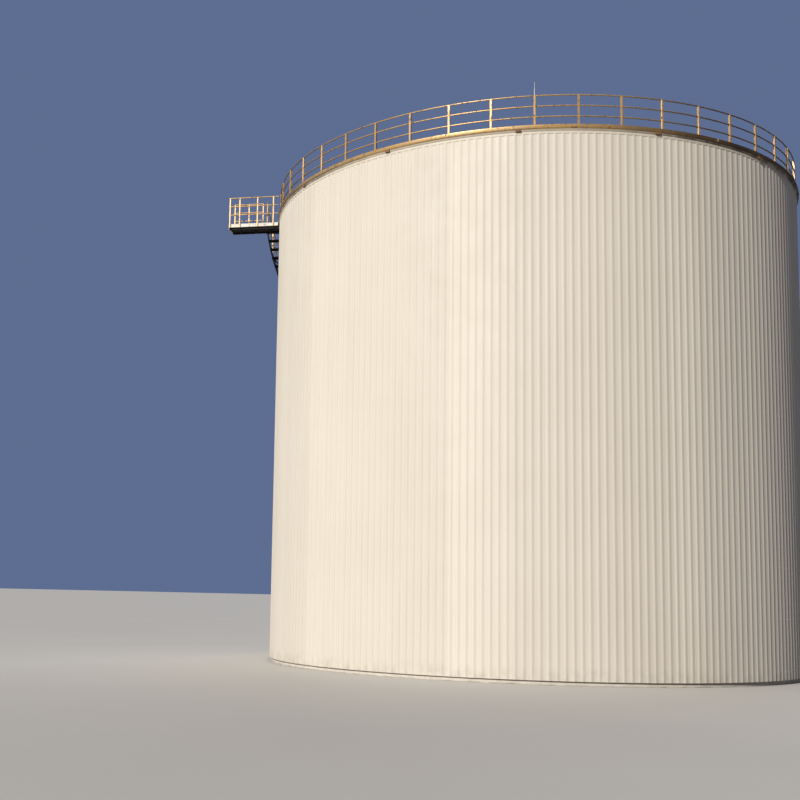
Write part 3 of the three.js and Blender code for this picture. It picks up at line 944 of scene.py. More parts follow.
@dataclass
class Foundation:
    """Round concrete plinth with its formwork joints, the drip flashing on it and the tank's floor."""

    radius: float = 8.82
    height: float = TANK.plinth_top
    edge: float = 0.012
    boards: int = 46
    groove_half: float = 0.006
    groove_depth: float = 0.004
    bore: float = 0.05
    core: float = 0.06
    flashing_reach: float = 8.886
    flashing_drop: float = 0.004
    flashing_sheet: float = 0.003
    flashing_sunk: float = 0.0002
    flashing_gap: float = 0.0005

    def build(self, shop: Workshop) -> None:
        """Builds the plinth and its flashing, and finishes the floor.

        Args:
            shop: Makes the pieces.
        """
        shop.piece("plinth", [self.plinth()], Slot.CONCRETE, ["foundation_plinth"])
        shop.piece("drip_flashing", [self.flashing()], Slot.DARK, ["base_flashing"], finish=WEATHERED_SHEET)
        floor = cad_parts["tank_floor"]
        floor.data.materials.clear()
        floor.data.materials.append(shop.finishes[Slot.STEEL])

    def plinth(self) -> Solid:
        """The plinth: its side steps in by the groove's depth at each board joint.

        Returns:
            A ring with an eased edge, and a core that closes its bore.
        """
        pitch = 360.0 / self.boards
        groove = np.array([-1.0, 0.0, 1.0]) * math.degrees(self.groove_half / self.radius)
        board = np.array([0.2, 0.4, 0.6, 0.8]) * pitch
        azimuths = (np.arange(self.boards)[:, None] * pitch + np.concatenate([groove, board])).ravel()
        drawn = np.tile(np.array([0.0, self.groove_depth, 0, 0, 0, 0, 0]), self.boards)
        rows = np.array([[self.bore, 0.0], [self.radius, 0.0], [self.radius, self.height - self.edge],
                         [self.radius - self.edge, self.height], [self.bore, self.height]])
        outline = np.tile(rows, (len(azimuths), 1, 1))
        outline[:, 1:3, 0] -= drawn[:, None]
        ring = revolve(outline, azimuths, closed=True)
        core = turned([(0, 0), (self.core, 0), (self.core, self.height), (0, self.height)], 24)
        return gather([ring, core])

    def flashing(self) -> Solid:
        """The flashing: a level leg under the cladding and a short leg turned down in front.

        Returns:
            The bent sheet as a ring.
        """
        sheet = self.flashing_sheet
        top = self.height - self.flashing_sunk
        inner = self.radius + self.flashing_gap
        reach = self.flashing_reach
        foot = self.height - self.flashing_drop
        outline = [[inner, top - sheet], [inner, top], [reach, top], [reach, foot],
                   [reach - sheet, foot], [reach - sheet, top - sheet]]
        return revolve(np.array(outline), FULL_ROUND, closed=True)


@dataclass
class Cladding:
    """Insulated wall in trapezoidal sheet: 62 sheets of four ribs, screwed to the girts."""

    segments: int = 8
    ribs: int = 248
    ribs_per_sheet: int = 4
    first_lap: int = 3
    painted_highlight_sheet: int = 60
    first_flank: float = 0.04248
    depth: float = 0.0105
    rows: int = 20
    stiffener: float = 0.0015
    stiffened: tuple[int, ...] = (7, 10)
    bow: float = 0.0009
    tone_spread: float = 0.75
    girts: int = 11
    first_girt: float = 0.25
    last_girt: float = 0.2
    screw_place: float = 0.089
    screw_head: float = 0.0065
    screw_height: float = 0.007

    def build(self, shop: Workshop) -> None:
        """Builds the clad wall and its screws.

        Args:
            shop: Makes the pieces.
        """
        skin, values = self.skin()
        walls = numbered("wall_segment", self.segments)
        shop.piece("cladding_sheets", [skin], Slot.CLADDING, walls, values)
        shop.piece("cladding_screws", [self.screws()], Slot.CLADDING)

    def section(self) -> tuple[Array, Array, Array]:
        """One pitch of the sheet.

        Returns:
            Place along the sheet in metres from the middle of a rib's right flank, depth under the
            crest as a share of the rib, and how much dirt and painted shade lies there.
        """
        along = np.array([-0.079, -0.047, -0.042, -0.020, -0.015, 0.019,
                          0.060, 0.069, 0.078, 0.100, 0.109, 0.118])
        sunk = np.array([1.0, 0.08, 0.0, 0.0, 0.08, 1.0, 1.0, 1.0, 1.0, 1.0, 1.0, 1.0])
        # Partly dirt, partly painted shade: heaviest at the foot of the right flank, which faces away from
        # the key light.
        dirt_and_shade = np.array([0.5, 0.0, 0.0, 0.0, 0.2, 0.8, 0.0, 0.1, 0.0, 0.0, 0.1, 0.0])
        return along, sunk, dirt_and_shade

    def skin(self) -> tuple[Solid, dict[str, Array]]:
        """The wall as one closed shell.

        At each azimuth the outside is the crest radius less the rib's section, less the two shallow
        stiffeners, less a slow bow that is a sum of sines of the azimuth and of the level.

        Returns:
            The shell, and its values for each point: tone of the sheet, one sheet lightest as a painted
                highlight, and dirt with painted shade in the corners.
        """
        along, sunk, dirt_and_shade = self.section()
        pitch = 2.0 * math.pi / self.ribs
        numbers = np.arange(self.ribs)
        azimuths = np.degrees(self.first_flank + numbers[:, None] * pitch + along / TANK.clad_radius).ravel()
        stiff = np.zeros_like(along)
        stiff[[*self.stiffened]] = self.stiffener
        inset = np.tile(sunk * self.depth + stiff, self.ribs)
        bottom, top = TANK.plinth_top + TANK.seat, TANK.rim_level
        levels = np.linspace(bottom, top, self.rows)
        turn = np.radians(azimuths)[:, None]
        bow = np.sin(31 * turn + 1.3 * np.sin(5 * turn)) * np.cos(levels * 0.9 + 4.0 * np.sin(7 * turn))
        bow = bow + 0.6 * np.sin(62 * turn + levels * 1.7)
        outside = TANK.clad_radius - inset[:, None] - self.bow * (1.0 + bow / 1.6)
        outside[:, [0, -1]] = (TANK.clad_radius - inset)[:, None]
        count = len(azimuths)
        outline = np.empty((count, self.rows + 2, 2))
        outline[:, 0] = [TANK.shell_inner, bottom]
        outline[:, 1:-1, 0] = outside
        outline[:, 1:-1, 1] = levels
        outline[:, -1] = [TANK.shell_inner, top]
        shell = revolve(outline, azimuths, closed=True)
        random = np.random.default_rng(SEED)
        tones = random.random(self.ribs // self.ribs_per_sheet) * self.tone_spread
        # Painted highlight: this one sheet gets the lightest tone, where the key light's sheen falls; the
        # other tones are random.
        tones[self.painted_highlight_sheet] = 1.0
        tone = np.repeat(np.roll(np.repeat(tones, self.ribs_per_sheet), -self.first_lap), len(along))
        spread = np.ones(self.rows + 2)
        values = {
            "sheet_tone": (tone[:, None] * spread).ravel(),
            "corner": (np.tile(dirt_and_shade, self.ribs)[:, None] * spread).ravel(),
        }
        return shell, values

    def screws(self) -> Solid:
        """One self-drilling screw in each pan at each girt.

        Returns:
            All the screws.
        """
        pitch = 2.0 * math.pi / self.ribs
        place = self.first_flank + np.arange(self.ribs) * pitch + self.screw_place / TANK.clad_radius
        levels = np.linspace(TANK.plinth_top + self.first_girt, TANK.rim_level - self.last_girt, self.girts)
        azimuths = np.tile(np.degrees(place), self.girts)
        heights = np.repeat(levels, self.ribs)
        head, height = self.screw_head, self.screw_height
        screw = turned([(0, 0), (head * 1.5, 0), (head, 0.002), (head, height), (0, height)], 6)
        foot = TANK.clad_radius - self.depth - self.bow * 2.0
        return screw.copies(facing_out(azimuths, foot, heights))


@dataclass
class Roof:
    """Cone roof in standing-seam sheets, with its crown cap, vent and hatch."""

    thickness: float = 0.08
    rise: float = 1.3
    crown: float = 0.4
    seams: int = 90
    seam_width: float = 0.012
    seam_height: float = 0.028
    seam_start: float = 0.7
    seam_gap: float = 0.015
    first_seam: float = 1.0
    cap_radius: float = 1.05
    vent_neck: float = 0.15
    vent_wires: int = 28
    vent_bolts: int = 8
    vent_hoops: tuple[float, ...] = (0.36, 0.405, 0.45)
    hatch_azimuth: float = -80.625
    hatch_distance: float = 7.0
    hatch_bolts: int = 12

    def build(self, shop: Workshop) -> None:
        """Builds the roof and what stands on it.

        Args:
            shop: Makes the pieces.
        """
        shop.piece("roof_sheets", [self.cone(), self.seam_bars(), self.cap()], Slot.ROOFING, ["roof_cone"])
        shop.piece("crown_vent", self.vent(), Slot.STEEL, ["roof_vent"])
        shop.piece("roof_hatch", self.hatch(), Slot.STEEL, ["roof_manhole"])

    def level(self, distance: Any) -> Any:
        """Level of the roof's upper face: the edge's, plus the rise in proportion to the way inwards."""
        share = (TANK.roof_radius - np.maximum(distance, self.crown)) / (TANK.roof_radius - self.crown)
        return TANK.rim_level + TANK.seat + self.thickness + self.rise * share

    def cone(self) -> Solid:
        """The roof's plate and insulation with an eased edge.

        Returns:
            The cone, closed at the axis.
        """
        edge = TANK.rim_level + TANK.seat
        radius = TANK.roof_radius
        top, eave, ease = float(self.level(0.0)), edge + self.thickness, 0.01
        return turned([(0, top - self.thickness), (self.crown, top - self.thickness), (radius, edge),
                       (radius, eave - ease), (radius - ease, eave), (self.crown, top), (0, top)], 180)

    def seam_bars(self) -> Solid:
        """Standing seams: upright folds that run down the slope.

        Returns:
            All the seams.
        """
        inner, outer = self.cap_radius * self.seam_start, TANK.roof_radius - self.seam_gap
        half, height, sunk = self.seam_width / 2.0, self.seam_height, 0.006
        outline = np.array([[-half, -sunk], [half, -sunk], [half, height], [-half, height]])
        origins = np.array([[0, -inner, float(self.level(inner))], [0, -outer, float(self.level(outer))]])
        seam = sweep(outline, origins, X_AXIS, Z_AXIS)
        return seam.copies(turned_to(equal_steps(self.first_seam, self.seams)))

    def cap(self) -> Solid:
        """Crown cap over the inner ends of the seams.

        Returns:
            A shallow dish with a turned-down edge.
        """
        outer = self.cap_radius
        low, top = float(self.level(outer)) - 0.004, float(self.level(0.0))
        under = float(self.level(self.crown))
        return turned([(0, under - 0.02), (self.crown, under - 0.02), (outer, low),
                       (outer + 0.004, low + 0.038), (outer - 0.006, low + 0.045),
                       (self.crown, under + 0.0002), (0, top + 0.0002)], 90)

    def vent(self) -> list[Solid]:
        """Vent on the crown: bolted flange, neck, mesh cage and conical hood.

        Returns:
            Its solids.
        """
        seat = float(self.level(0.0)) + TANK.seat
        lift = at_points([[0.0, 0.0, seat]])
        neck = self.vent_neck
        flange = turned([(0, 0), (0.24, 0), (0.24, 0.017), (0.237, 0.02), (0.162, 0.02), (neck, 0.034),
                         (neck, 0.33), (0, 0.33)], 48)
        hood = turned([(0, 0.49), (0.3, 0.49), (0.302, 0.475), (0.316, 0.475), (0.32, 0.484), (0.32, 0.53),
                       (0.31, 0.545), (0.08, 0.655), (0.05, 0.665), (0.042, 0.68), (0, 0.68)], 48)
        wires = flat([-0.003, -0.153, 0.32], [0.003, -0.147, 0.5])
        wires = wires.copies(turned_to(equal_steps(0.0, self.vent_wires)))
        hoops = [revolve(circle(0.004, 6) + [neck, z], FULL_ROUND[::15], closed=True)
                 for z in self.vent_hoops]
        spots = outward_at(equal_steps(0.0, self.vent_bolts)) * 0.2 + [0, 0, 0.02]
        heads = bolt(0.012, 0.012).copies(at_points(spots))
        return [part.copies(lift) for part in (flange, hood, wires, *hoops, heads)]

    def hatch(self) -> list[Solid]:
        """Hatch square on the slope: neck, hinged lid, bolts and handle.

        Returns:
            Its solids.
        """
        slope = math.atan(self.rise / (TANK.roof_radius - self.crown))
        seat = float(self.level(self.hatch_distance)) + 0.001
        tilt = Matrix.Translation((0, -self.hatch_distance, seat)) @ Matrix.Rotation(slope, 4, "X")
        place = turned_to(np.array([self.hatch_azimuth])) @ np.array(tilt)
        neck = turned([(0, 0), (0.33, 0), (0.33, 0.008), (0.306, 0.012), (0.3, 0.02), (0.3, 0.225),
                       (0.345, 0.225), (0.348, 0.228), (0.348, 0.246), (0, 0.246)], 48)
        lid = turned([(0, 0.249), (0.34, 0.249), (0.35, 0.252), (0.35, 0.268), (0.345, 0.2725), (0.2, 0.275),
                      (0, 0.275)], 48)
        spots = outward_at(equal_steps(15.0, self.hatch_bolts)) * 0.325 + [0, 0, 0.272]
        heads = bolt(0.014, 0.02).copies(at_points(spots))
        hinge = [bar([x - 0.012, -0.4, 0.21], [x + 0.012, -0.3, 0.28]) for x in (-0.08, 0.08)]
        pin = tube([[-0.12, -0.385, 0.262], [0.0, -0.385, 0.262], [0.12, -0.385, 0.262]], 0.009, 10)
        handle = tube(self.hoop(0.09, 0.05) + [0.0, 0.16, 0.27], 0.008, 8)
        return [part.copies(place) for part in (neck, lid, heads, *hinge, pin, handle)]

    def hoop(self, half_width: float, height: float) -> Array:
        """A handle's path: x = half width times cosine, y = lean times sine, z = height times sine."""
        turn, lean = np.linspace(0.0, math.pi, 13), 0.02
        return np.stack([half_width * np.cos(turn), lean * np.sin(turn), height * np.sin(turn)], axis=-1)


def rim_painted_shade(points: Array, unshaded_from: float = -25.0, unshaded_to: float = 5.0, run: float = 32.0) -> Array:
    """How much shade is painted on the rim and its rail, by azimuth.

    It paints shade: a smooth step up at each side of the unshaded part, which is turned towards the
    key light, higher on the right, times 0.92 less a slow wave of sines.

    Args:
        points: (count, 3).
        unshaded_from: Where the unshaded part starts, in degrees.
        unshaded_to: Where it ends.
        run: Degrees that a step takes.

    Returns:
        Painted shade for each point, between 0 and 1.
    """
    turn = np.arctan2(points[:, 0], -points[:, 1])
    right = np.clip((np.degrees(turn) - unshaded_to) / run, 0.0, 1.0)
    left = np.clip((unshaded_from - np.degrees(turn)) / run, 0.0, 1.0)
    step = right * right * (3.0 - 2.0 * right) + 0.75 * left * left * (3.0 - 2.0 * left)
    return step * (0.92 - 0.08 * np.sin(9.0 * turn + 1.0) * np.sin(23.0 * turn))


@dataclass
class Rim:
    """Pressed rim on the wall: flange, golden curb, cream flare and closure trim, outlets and splices."""

    seat: float = TANK.rim_level + TANK.seat
    paint_break: tuple[float, float] = (8.9185, 15.572)
    flare_top: float = 15.6053
    top: float = 15.7
    sheet: float = 0.01
    hem: float = 0.018
    first_drain: float = -27.2
    drains: int = 14
    drain_width: float = 0.15
    drain_height: float = 0.07
    drain_level: float = 15.53
    drain_sheet: float = 0.005
    trim_bottom: float = 15.45
    trim_sheet: float = 0.0015
    splice_width: float = 0.07
    splice_clearance: float = 1.0
    drain_clearance: float = 6.0
    curb_painted_shade: float = 0.9
    flare_dirt_and_shade: tuple[float, float] = (0.2, 0.8)
    trim_dirt_and_shade: tuple[float, float] = (0.1, 0.2)

    def build(self, shop: Workshop) -> None:
        """Builds the rim, its drain outlets and its splice plates.

        Args:
            shop: Makes the pieces.
        """
        nodes = numbered("rim_section", TANK.rim_sections)
        curb = gather([self.flange(), self.curb(), self.threshold()])
        # Painted shade on the flange, curb and threshold: darker towards both sides of the part turned to
        # the key light.
        shop.piece("rim_curb", [curb], Slot.GOLDEN, nodes, {"painted_shade": rim_painted_shade(curb.points) * self.curb_painted_shade})
        # Flare and trim are darkened by a base share all round, plus painted shade that follows the rim's
        # painted shade by azimuth.
        flare, trim = self.flare(), self.trim()
        dirt_and_shade = np.concatenate([self.dirt_and_shade_on(flare, self.flare_dirt_and_shade), self.dirt_and_shade_on(trim, self.trim_dirt_and_shade)])
        values = {"corner": dirt_and_shade, "sheet_tone": np.ones(len(dirt_and_shade))}
        shop.piece("rim_cream_trim", [flare, trim], Slot.CLADDING, values=values, finish=STAINED_AND_SHADED_CREAM)
        shop.piece("rim_splices", self.splices(), Slot.GOLDEN)
        shop.piece("rim_drain_spouts", [*self.spouts(), *self.throats()], Slot.GOLDEN, finish=RUSTED_SPOUT)

    def dirt_and_shade_on(self, solid: Solid, dirt_and_shade: tuple[float, float]) -> Array:
        """Dirt and painted shade for each point: the first value, plus the second value times the painted
        shade there.
        """
        return dirt_and_shade[0] + dirt_and_shade[1] * rim_painted_shade(solid.points)

    def flange(self) -> Solid:
        """Level flange on top of the wall, all the way round.

        Returns:
            A flat ring.
        """
        inner, outer = TANK.flange_inner, TANK.clad_radius - self.sheet / 2.0
        top = TANK.flange_top
        outline = [[inner, self.seat], [outer, self.seat], [outer, top], [inner + 0.002, top],
                   [inner, top - 0.002]]
        return revolve(np.array(outline), FULL_ROUND, closed=True)

    def curb(self) -> Solid:
        """Upright curb and the upper part of its flare, open at the gate, with a rolled hem along its top.

        Returns:
            The arc between the posts beside the gate.
        """
        reach, sheet, top = TANK.rim_radius, self.sheet, self.top
        foot, level = self.paint_break
        hem, ease, hem_foot = reach - self.hem, 0.004, top - 0.022
        outline = [
            [foot, level], [reach - 0.003, self.flare_top - 0.004], [reach, self.flare_top + 0.002],
            [reach, top - ease], [reach - ease, top], [hem, top],
            [hem - ease, top - ease], [hem - ease, top - 0.018], [hem, hem_foot], [reach - sheet, hem_foot],
            [reach - sheet, self.flare_top + 0.004], [foot - sheet, level + 0.006],
        ]
        return revolve(np.array(outline), TANK.round_to_gate())

    def flare(self) -> Solid:
        """Cream foot of the flare, from the wall to where the golden paint starts.

        Returns:
            The arc under the curb.
        """
        wall, sheet = TANK.clad_radius, self.sheet
        foot, level = self.paint_break
        outline = [
            [wall - sheet, self.seat], [wall - 0.001, self.seat], [wall + 0.002, self.seat + 0.002],
            [foot - 0.0015, level - 0.001], [foot - 0.001, level + 0.001], [foot - sheet, level + 0.005],
            [wall - sheet / 2.0, TANK.flange_top], [wall - sheet, TANK.flange_top],
        ]
        return revolve(np.array(outline), TANK.round_to_gate())

    def trim(self) -> Solid:
        """Closure trim over the upper ends of the ribs, its foot eased towards them.

        Returns:
            A ring on the ribs' crests.
        """
        inner, outer = TANK.clad_radius + 0.0002, TANK.clad_radius + self.trim_sheet
        top, foot = TANK.rim_level - 0.0005, self.trim_bottom
        outline = [[inner, foot], [outer, foot + 0.012], [outer, top], [inner, top]]
        return revolve(np.array(outline), FULL_ROUND, closed=True)

    def threshold(self) -> Solid:
        """Level plate in the gate, where there is no curb.

        Returns:
            An arc a little longer than the gate.
        """
        inner, outer = TANK.clad_radius - self.sheet, TANK.rim_radius
        top = TANK.flange_top
        outline = [[inner, self.seat], [outer, self.seat], [outer, top - 0.003], [outer - 0.003, top],
                   [inner, top]]
        return revolve(np.array(outline), np.linspace(TANK.gate_from - 0.1, TANK.gate_to + 0.1, 9))

    def splices(self) -> list[Solid]:
        """Cover plates over the joints of the curb, each with four bolts.

        Returns:
            Plates and bolts.
        """
        azimuths = equal_steps(TANK.first_joint, TANK.rim_sections)
        azimuths = azimuths[np.abs(TANK.off_gate(azimuths)) > self.splice_clearance]
        reach, half = TANK.rim_radius, self.splice_width / 2.0
        low, high = self.flare_top + 0.006, self.top - 0.008
        plate = bar([-half, -reach - 0.005, low], [half, -reach + 0.001, high], 0.0015)
        spots = np.array([[x, -reach - 0.005, z] for x in (-0.02, 0.02) for z in (low + 0.02, high - 0.02)])
        heads = bolt(0.008, 0.008).copies(places_from(X_AXIS, Z_AXIS, -Y_AXIS, spots))
        return [part.copies(turned_to(azimuths)) for part in (plate, heads)]

    def drain_places(self) -> Array:
        """Turns of the drain outlets, at equal steps, but for one that would be in the gate."""
        azimuths = equal_steps(self.first_drain, self.drains)
        return turned_to(azimuths[np.abs(TANK.off_gate(azimuths)) > self.drain_clearance])

    def spouts(self) -> list[Solid]:
        """Short spouts of folded sheet through the foot of the curb.

        Returns:
            The four walls of each spout.
        """
        half, height, sheet = self.drain_width / 2.0, self.drain_height, self.drain_sheet
        low, back, front = self.drain_level, -TANK.clad_radius - 0.003, -TANK.rim_radius - 0.008
        outer = np.array([[-half, low], [half, low], [half, low + height], [-half, low + height]])
        inner = outer + sheet * np.array([[1, 1], [-1, 1], [-1, -1], [1, -1]])
        walls = [np.stack([outer[k], outer[(k + 1) % 4], inner[(k + 1) % 4], inner[k]]) for k in range(4)]
        path = np.array([[0, back, 0], [0, front, 0]])
        return [sweep(wall, path, X_AXIS, Z_AXIS).copies(self.drain_places()) for wall in walls]

    def throats(self) -> list[Solid]:
        """Plates that close the spouts, behind their mouths.

        Returns:
            One in each spout.
        """
        half, front, sheet = self.drain_width / 2.0, -TANK.rim_radius, self.drain_sheet
        low, high = self.drain_level + sheet, self.drain_level + self.drain_height - sheet
        throat = flat([-half + sheet, front, low], [half - sheet, front + 0.004, high])
        return [throat.copies(self.drain_places())]


@dataclass
class GuardRail:
    """Guard rail on the rim: square posts on bolted feet, three round rails, and the lightning rod."""

    posts: int = 45
    first_post: float = 1.5
    post_half: float = 0.03
    foot_half: float = 0.07
    foot_depth: float = 0.042
    foot_thickness: float = 0.01
    sleeve: float = 0.0255
    sleeve_half: float = 0.06
    joints: tuple[int, ...] = (0, 1, 2, 3, 4, 5, 6, 8)
    pipe_painted_shade: float = 0.75
    rod_azimuth: float = 1.5
    rod_distance: float = 8.797
    rod_height: float = 1.52
    rod_clamps: tuple[float, ...] = (0.3, 0.9)

    def build(self, shop: Workshop) -> None:
        """Builds the rails, the posts and the rod.

        Args:
            shop: Makes the pieces.
        """
        nodes = numbered("guard_rail", TANK.rim_sections)
        pipes, posts = gather(self.rails()), gather(self.post_set())
        # Painted shade on the rail pipes, by azimuth like the rim's; the posts get none.
        painted_shade = np.concatenate([rim_painted_shade(pipes.points) * self.pipe_painted_shade, np.zeros(len(posts.points))])
        shop.piece("guard_rail", [pipes, posts], Slot.GOLDEN, nodes, {"painted_shade": painted_shade})
        shop.piece("guard_rail_bolts", [self.foot_bolts()], Slot.STEEL)
        shop.piece("lightning_rod_and_clamps", self.rod(), Slot.WHITE, ["lightning_rod"])

    def azimuths(self) -> Array:
        """Where the posts stand, at equal turns."""
        return equal_steps(self.first_post, self.posts)

    def rails(self) -> list[Solid]:
        """Three pipes that follow the rim from one side of the gate to the other, with sleeves.

        Returns:
            Pipes and the sleeves over their joints.
        """
        turn = TANK.round_to_gate()
        joints = equal_steps(TANK.first_joint, TANK.rim_sections)[[*self.joints]]
        reach = math.degrees(self.sleeve_half / TANK.rail_radius)
        parts = []
        for level in TANK.rail_levels:
            section = circle(TANK.rail_pipe, 12) + [TANK.rail_radius, level]
            parts.append(revolve(section, turn))
            collar = circle(self.sleeve, 12) + [TANK.rail_radius, level]
            parts.append(revolve(collar, np.linspace(-reach, reach, 3)).copies(turned_to(joints)))
        return parts

    def post_set(self) -> list[Solid]:
        """Posts, their feet, and a stiffening fin on each side of the post.

        Returns:
            All of them, round the rim.
        """
        half, radius = self.post_half, TANK.rail_radius
        bottom, top = TANK.flange_top + TANK.seat, TANK.rail_levels[-1]
        post = bar([-half, -radius - half, bottom], [half, -radius + half, top], 0.005)
        foot = bar([-self.foot_half, -radius - self.foot_depth, bottom],
                   [self.foot_half, -radius + self.foot_depth, bottom + self.foot_thickness], 0.002)
        shape = np.array([[half - 0.002, 0.0], [self.foot_half - 0.006, 0.0], [half - 0.002, 0.07]])
        through = np.array([[0, -radius - 0.003, bottom + 0.009], [0, -radius + 0.003, bottom + 0.009]])
        fins = [sweep(shape * [side, 1], through, X_AXIS, Z_AXIS) for side in (-1, 1)]
        return [part.copies(turned_to(self.azimuths())) for part in (post, foot, *fins)]

    def foot_bolts(self) -> Solid:
        """Four bolts in each foot.

        Returns:
            All the heads.
        """
        radius, top = TANK.rail_radius, TANK.flange_top + TANK.seat + self.foot_thickness
        spots = [[x, -radius + y, top] for x in (-0.054, 0.054) for y in (-0.026, 0.026)]
        return bolt(0.0095, 0.011).copies(at_points(spots)).copies(turned_to(self.azimuths()))

    def rod(self) -> list[Solid]:
        """Pointed rod in a socket, tied to the post by two clamps.

        Returns:
            Rod, socket and clamps.
        """
        foot, y, tip = TANK.flange_top + TANK.seat, -self.rod_distance, self.rod_height
        rod = turned([(0, 0), (0.016, 0), (0.016, 0.06), (0.01, 0.065), (0.01, tip - 0.25),
                      (0.006, tip - 0.2), (0.0045, tip - 0.03), (0, tip)], 16)
        parts = [rod.copies(at_points([[0, y, foot]]))]
        for height in self.rod_clamps:
            low = foot + height
            parts.append(bar([-0.014, y - 0.014, low], [0.014, y + 0.013, low + 0.03]))
        return [part.copies(turned_to(np.array([self.rod_azimuth]))) for part in parts]


@dataclass
class Walkway:
    """Walkway at rim level: white edge plates, chequered deck on two channels, and two pipe rails."""

    near: float = -1.55
    far: float = -0.85
    end: float = -10.65
    plate: float = 0.01
    deck_top: float = TANK.flange_top
    below: float = 0.014
    above: float = 0.108
    bearer_width: float = 0.05
    bearer_height: float = 0.062
    bearer_inset: float = 0.06
    post_half: float = 0.02
    near_posts: tuple[float, ...] = (-10.61, -10.245, -9.58, -8.99)
    far_posts: tuple[float, ...] = (-10.61, -10.075, -9.54)
    near_rail_end: float = -8.8
    bolt_levels: tuple[float, ...] = (15.56, 15.615)
    deck_sheet: float = 0.03
    rim_gap: float = 0.002
    cross_angles: tuple[float, ...] = (-10.3, -9.75, -9.2)
    lozenge_pitch: float = 0.05

    def build(self, shop: Workshop) -> None:
        """Builds deck, plates and rails.

        Args:
            shop: Makes the pieces.
        """
        shop.piece("walkway_edge_plates", self.edge_plates(), Slot.WHITE, ["walkway"])
        shop.piece("walkway_deck", [*self.deck(), *self.bearers()], Slot.DARK, ["walkway"])
        offset = self.post_half + TANK.seat
        near = self.rail(self.near - offset, self.near_posts, self.near_rail_end)
        shop.piece("walkway_rail_near_pipes", near, Slot.GOLDEN, ["walkway_rail_near"])
        far = self.rail(self.far + offset, self.far_posts, self.far_posts[-1])
        shop.piece("walkway_rail_far_pipes", far, Slot.GOLDEN, ["walkway_rail_far"])
        shop.piece("walkway_bolts", self.bolts(), Slot.STEEL)

    def rim_x(self, y: Any) -> Any:
        """Where the deck meets the rim: x is minus the root of the rim's radius squared less y squared."""
        return -np.sqrt((TANK.rim_radius + TANK.seat) ** 2 - np.square(y))

    def edge_plates(self) -> list[Solid]:
        """The long plates beside the deck and the plate across its end.

        Returns:
            Three plates with eased edges.
        """
        low, high = self.deck_top - self.below, self.deck_top + self.above
        near_end = float(self.rim_x(self.near + self.plate)) - 0.001
        far_end = -(TANK.stair_outer + TANK.stringer)
        bottom = self.deck_top - self.deck_sheet - self.bearer_height
        inner, outer = self.near + self.plate, self.far - self.plate
        start, ease = self.end + self.plate, 0.0015
        return [
            bar([self.end, self.near, low], [near_end, inner, high], ease),
            bar([self.end, outer, low], [far_end, self.far, high], ease),
            bar([self.end, inner, bottom], [start, outer, self.deck_top], ease),
        ]

    def deck(self) -> list[Solid]:
        """Deck plate, cut along the rim's circle, with raised lozenges in alternate directions.

        Returns:
            Plate and lozenges.
        """
        inner, outer, start = self.near + self.plate, self.far - self.plate, self.end + self.plate
        rim = np.linspace(inner, outer, 9)
        curve = np.stack([self.rim_x(rim) - self.rim_gap, rim], axis=-1)
        outline = np.concatenate([[[start, outer], [start, inner]], curve])
        levels = np.array([[0, 0, self.deck_top - self.deck_sheet], [0, 0, self.deck_top - 0.002]])
        plate = sweep(outline, levels, X_AXIS, Y_AXIS)
        x, y = np.meshgrid(np.arange(start + 0.03, -9.0, self.lozenge_pitch),
                           np.arange(inner + 0.03, outer - 0.02, self.lozenge_pitch), indexing="ij")
        even = (np.indices(x.shape).sum(axis=0) % 2 == 0).ravel()
        spots = np.stack([x.ravel(), y.ravel(), np.full(x.size, self.deck_top - 0.002)], axis=-1)
        parts = [plate]
        for chosen, side in ((even, 1.0), (~even, -1.0)):
            along = (X_AXIS + side * Y_AXIS) / math.sqrt(2.0)
            square = (Y_AXIS - side * X_AXIS) / math.sqrt(2.0)
            lozenge = flat([-0.014, -0.003, -0.001], [0.014, 0.003, 0.002])
            parts.append(lozenge.copies(places_from(along, square, Z_AXIS, spots[chosen])))
        return parts

    def bearers(self) -> list[Solid]:
        """Two channels under the deck, open towards each other, and cross angles between them.

        Returns:
            Channels and angles.
        """
        top = self.deck_top - self.deck_sheet
        low = top - self.bearer_height
        sheet, width = 0.007, self.bearer_width
        parts = []
        for y, side in ((self.near + self.bearer_inset, 1.0), (self.far - self.bearer_inset, -1.0)):
            outline = np.array([[0, low], [width, low], [width, low + sheet], [sheet, low + sheet],
                                [sheet, top - sheet], [width, top - sheet], [width, top], [0, top]])
            path = np.array([[self.end + self.plate, y, 0.0], [float(self.rim_x(y)) - self.rim_gap, y, 0.0]])
            parts.append(sweep(outline * [side, 1.0], path, Y_AXIS, Z_AXIS))
        inner, outer = self.near + self.bearer_inset + 0.045, self.far - self.bearer_inset - 0.045
        for x in self.cross_angles:
            parts.append(bar([x - 0.02, inner, low + 0.008], [x + 0.02, outer, low + 0.045], 0.002))
        return parts

    def rail(self, y: float, posts: Sequence[float], to: float) -> list[Solid]:
        """One straight rail: square posts on the edge plate with three pipes.

        Args:
            y: Its place across the walkway.
            posts: Where its posts stand.
            to: Where its pipes end at the tank.

        Returns:
            Posts, pipes and the plugs in the pipes' far ends.
        """
        half = self.post_half
        bottom, top = self.deck_top - 0.03, TANK.rail_levels[-1]
        parts = [bar([x - half, y - half, bottom], [x + half, y + half, top], 0.003) for x in posts]
        plug = turned([(0, -0.002), (0.017, -0.002), (0.0205, 0.001), (0.0205, 0.012), (0, 0.012)], 14)
        for level in TANK.rail_levels:
            end = np.array([self.end, y, level])
            parts.append(tube(np.linspace(end, [to, y, level], 6), TANK.rail_pipe, 14))
            parts.append(plug.copies(places_from(Y_AXIS, Z_AXIS, X_AXIS, end)))
        return parts

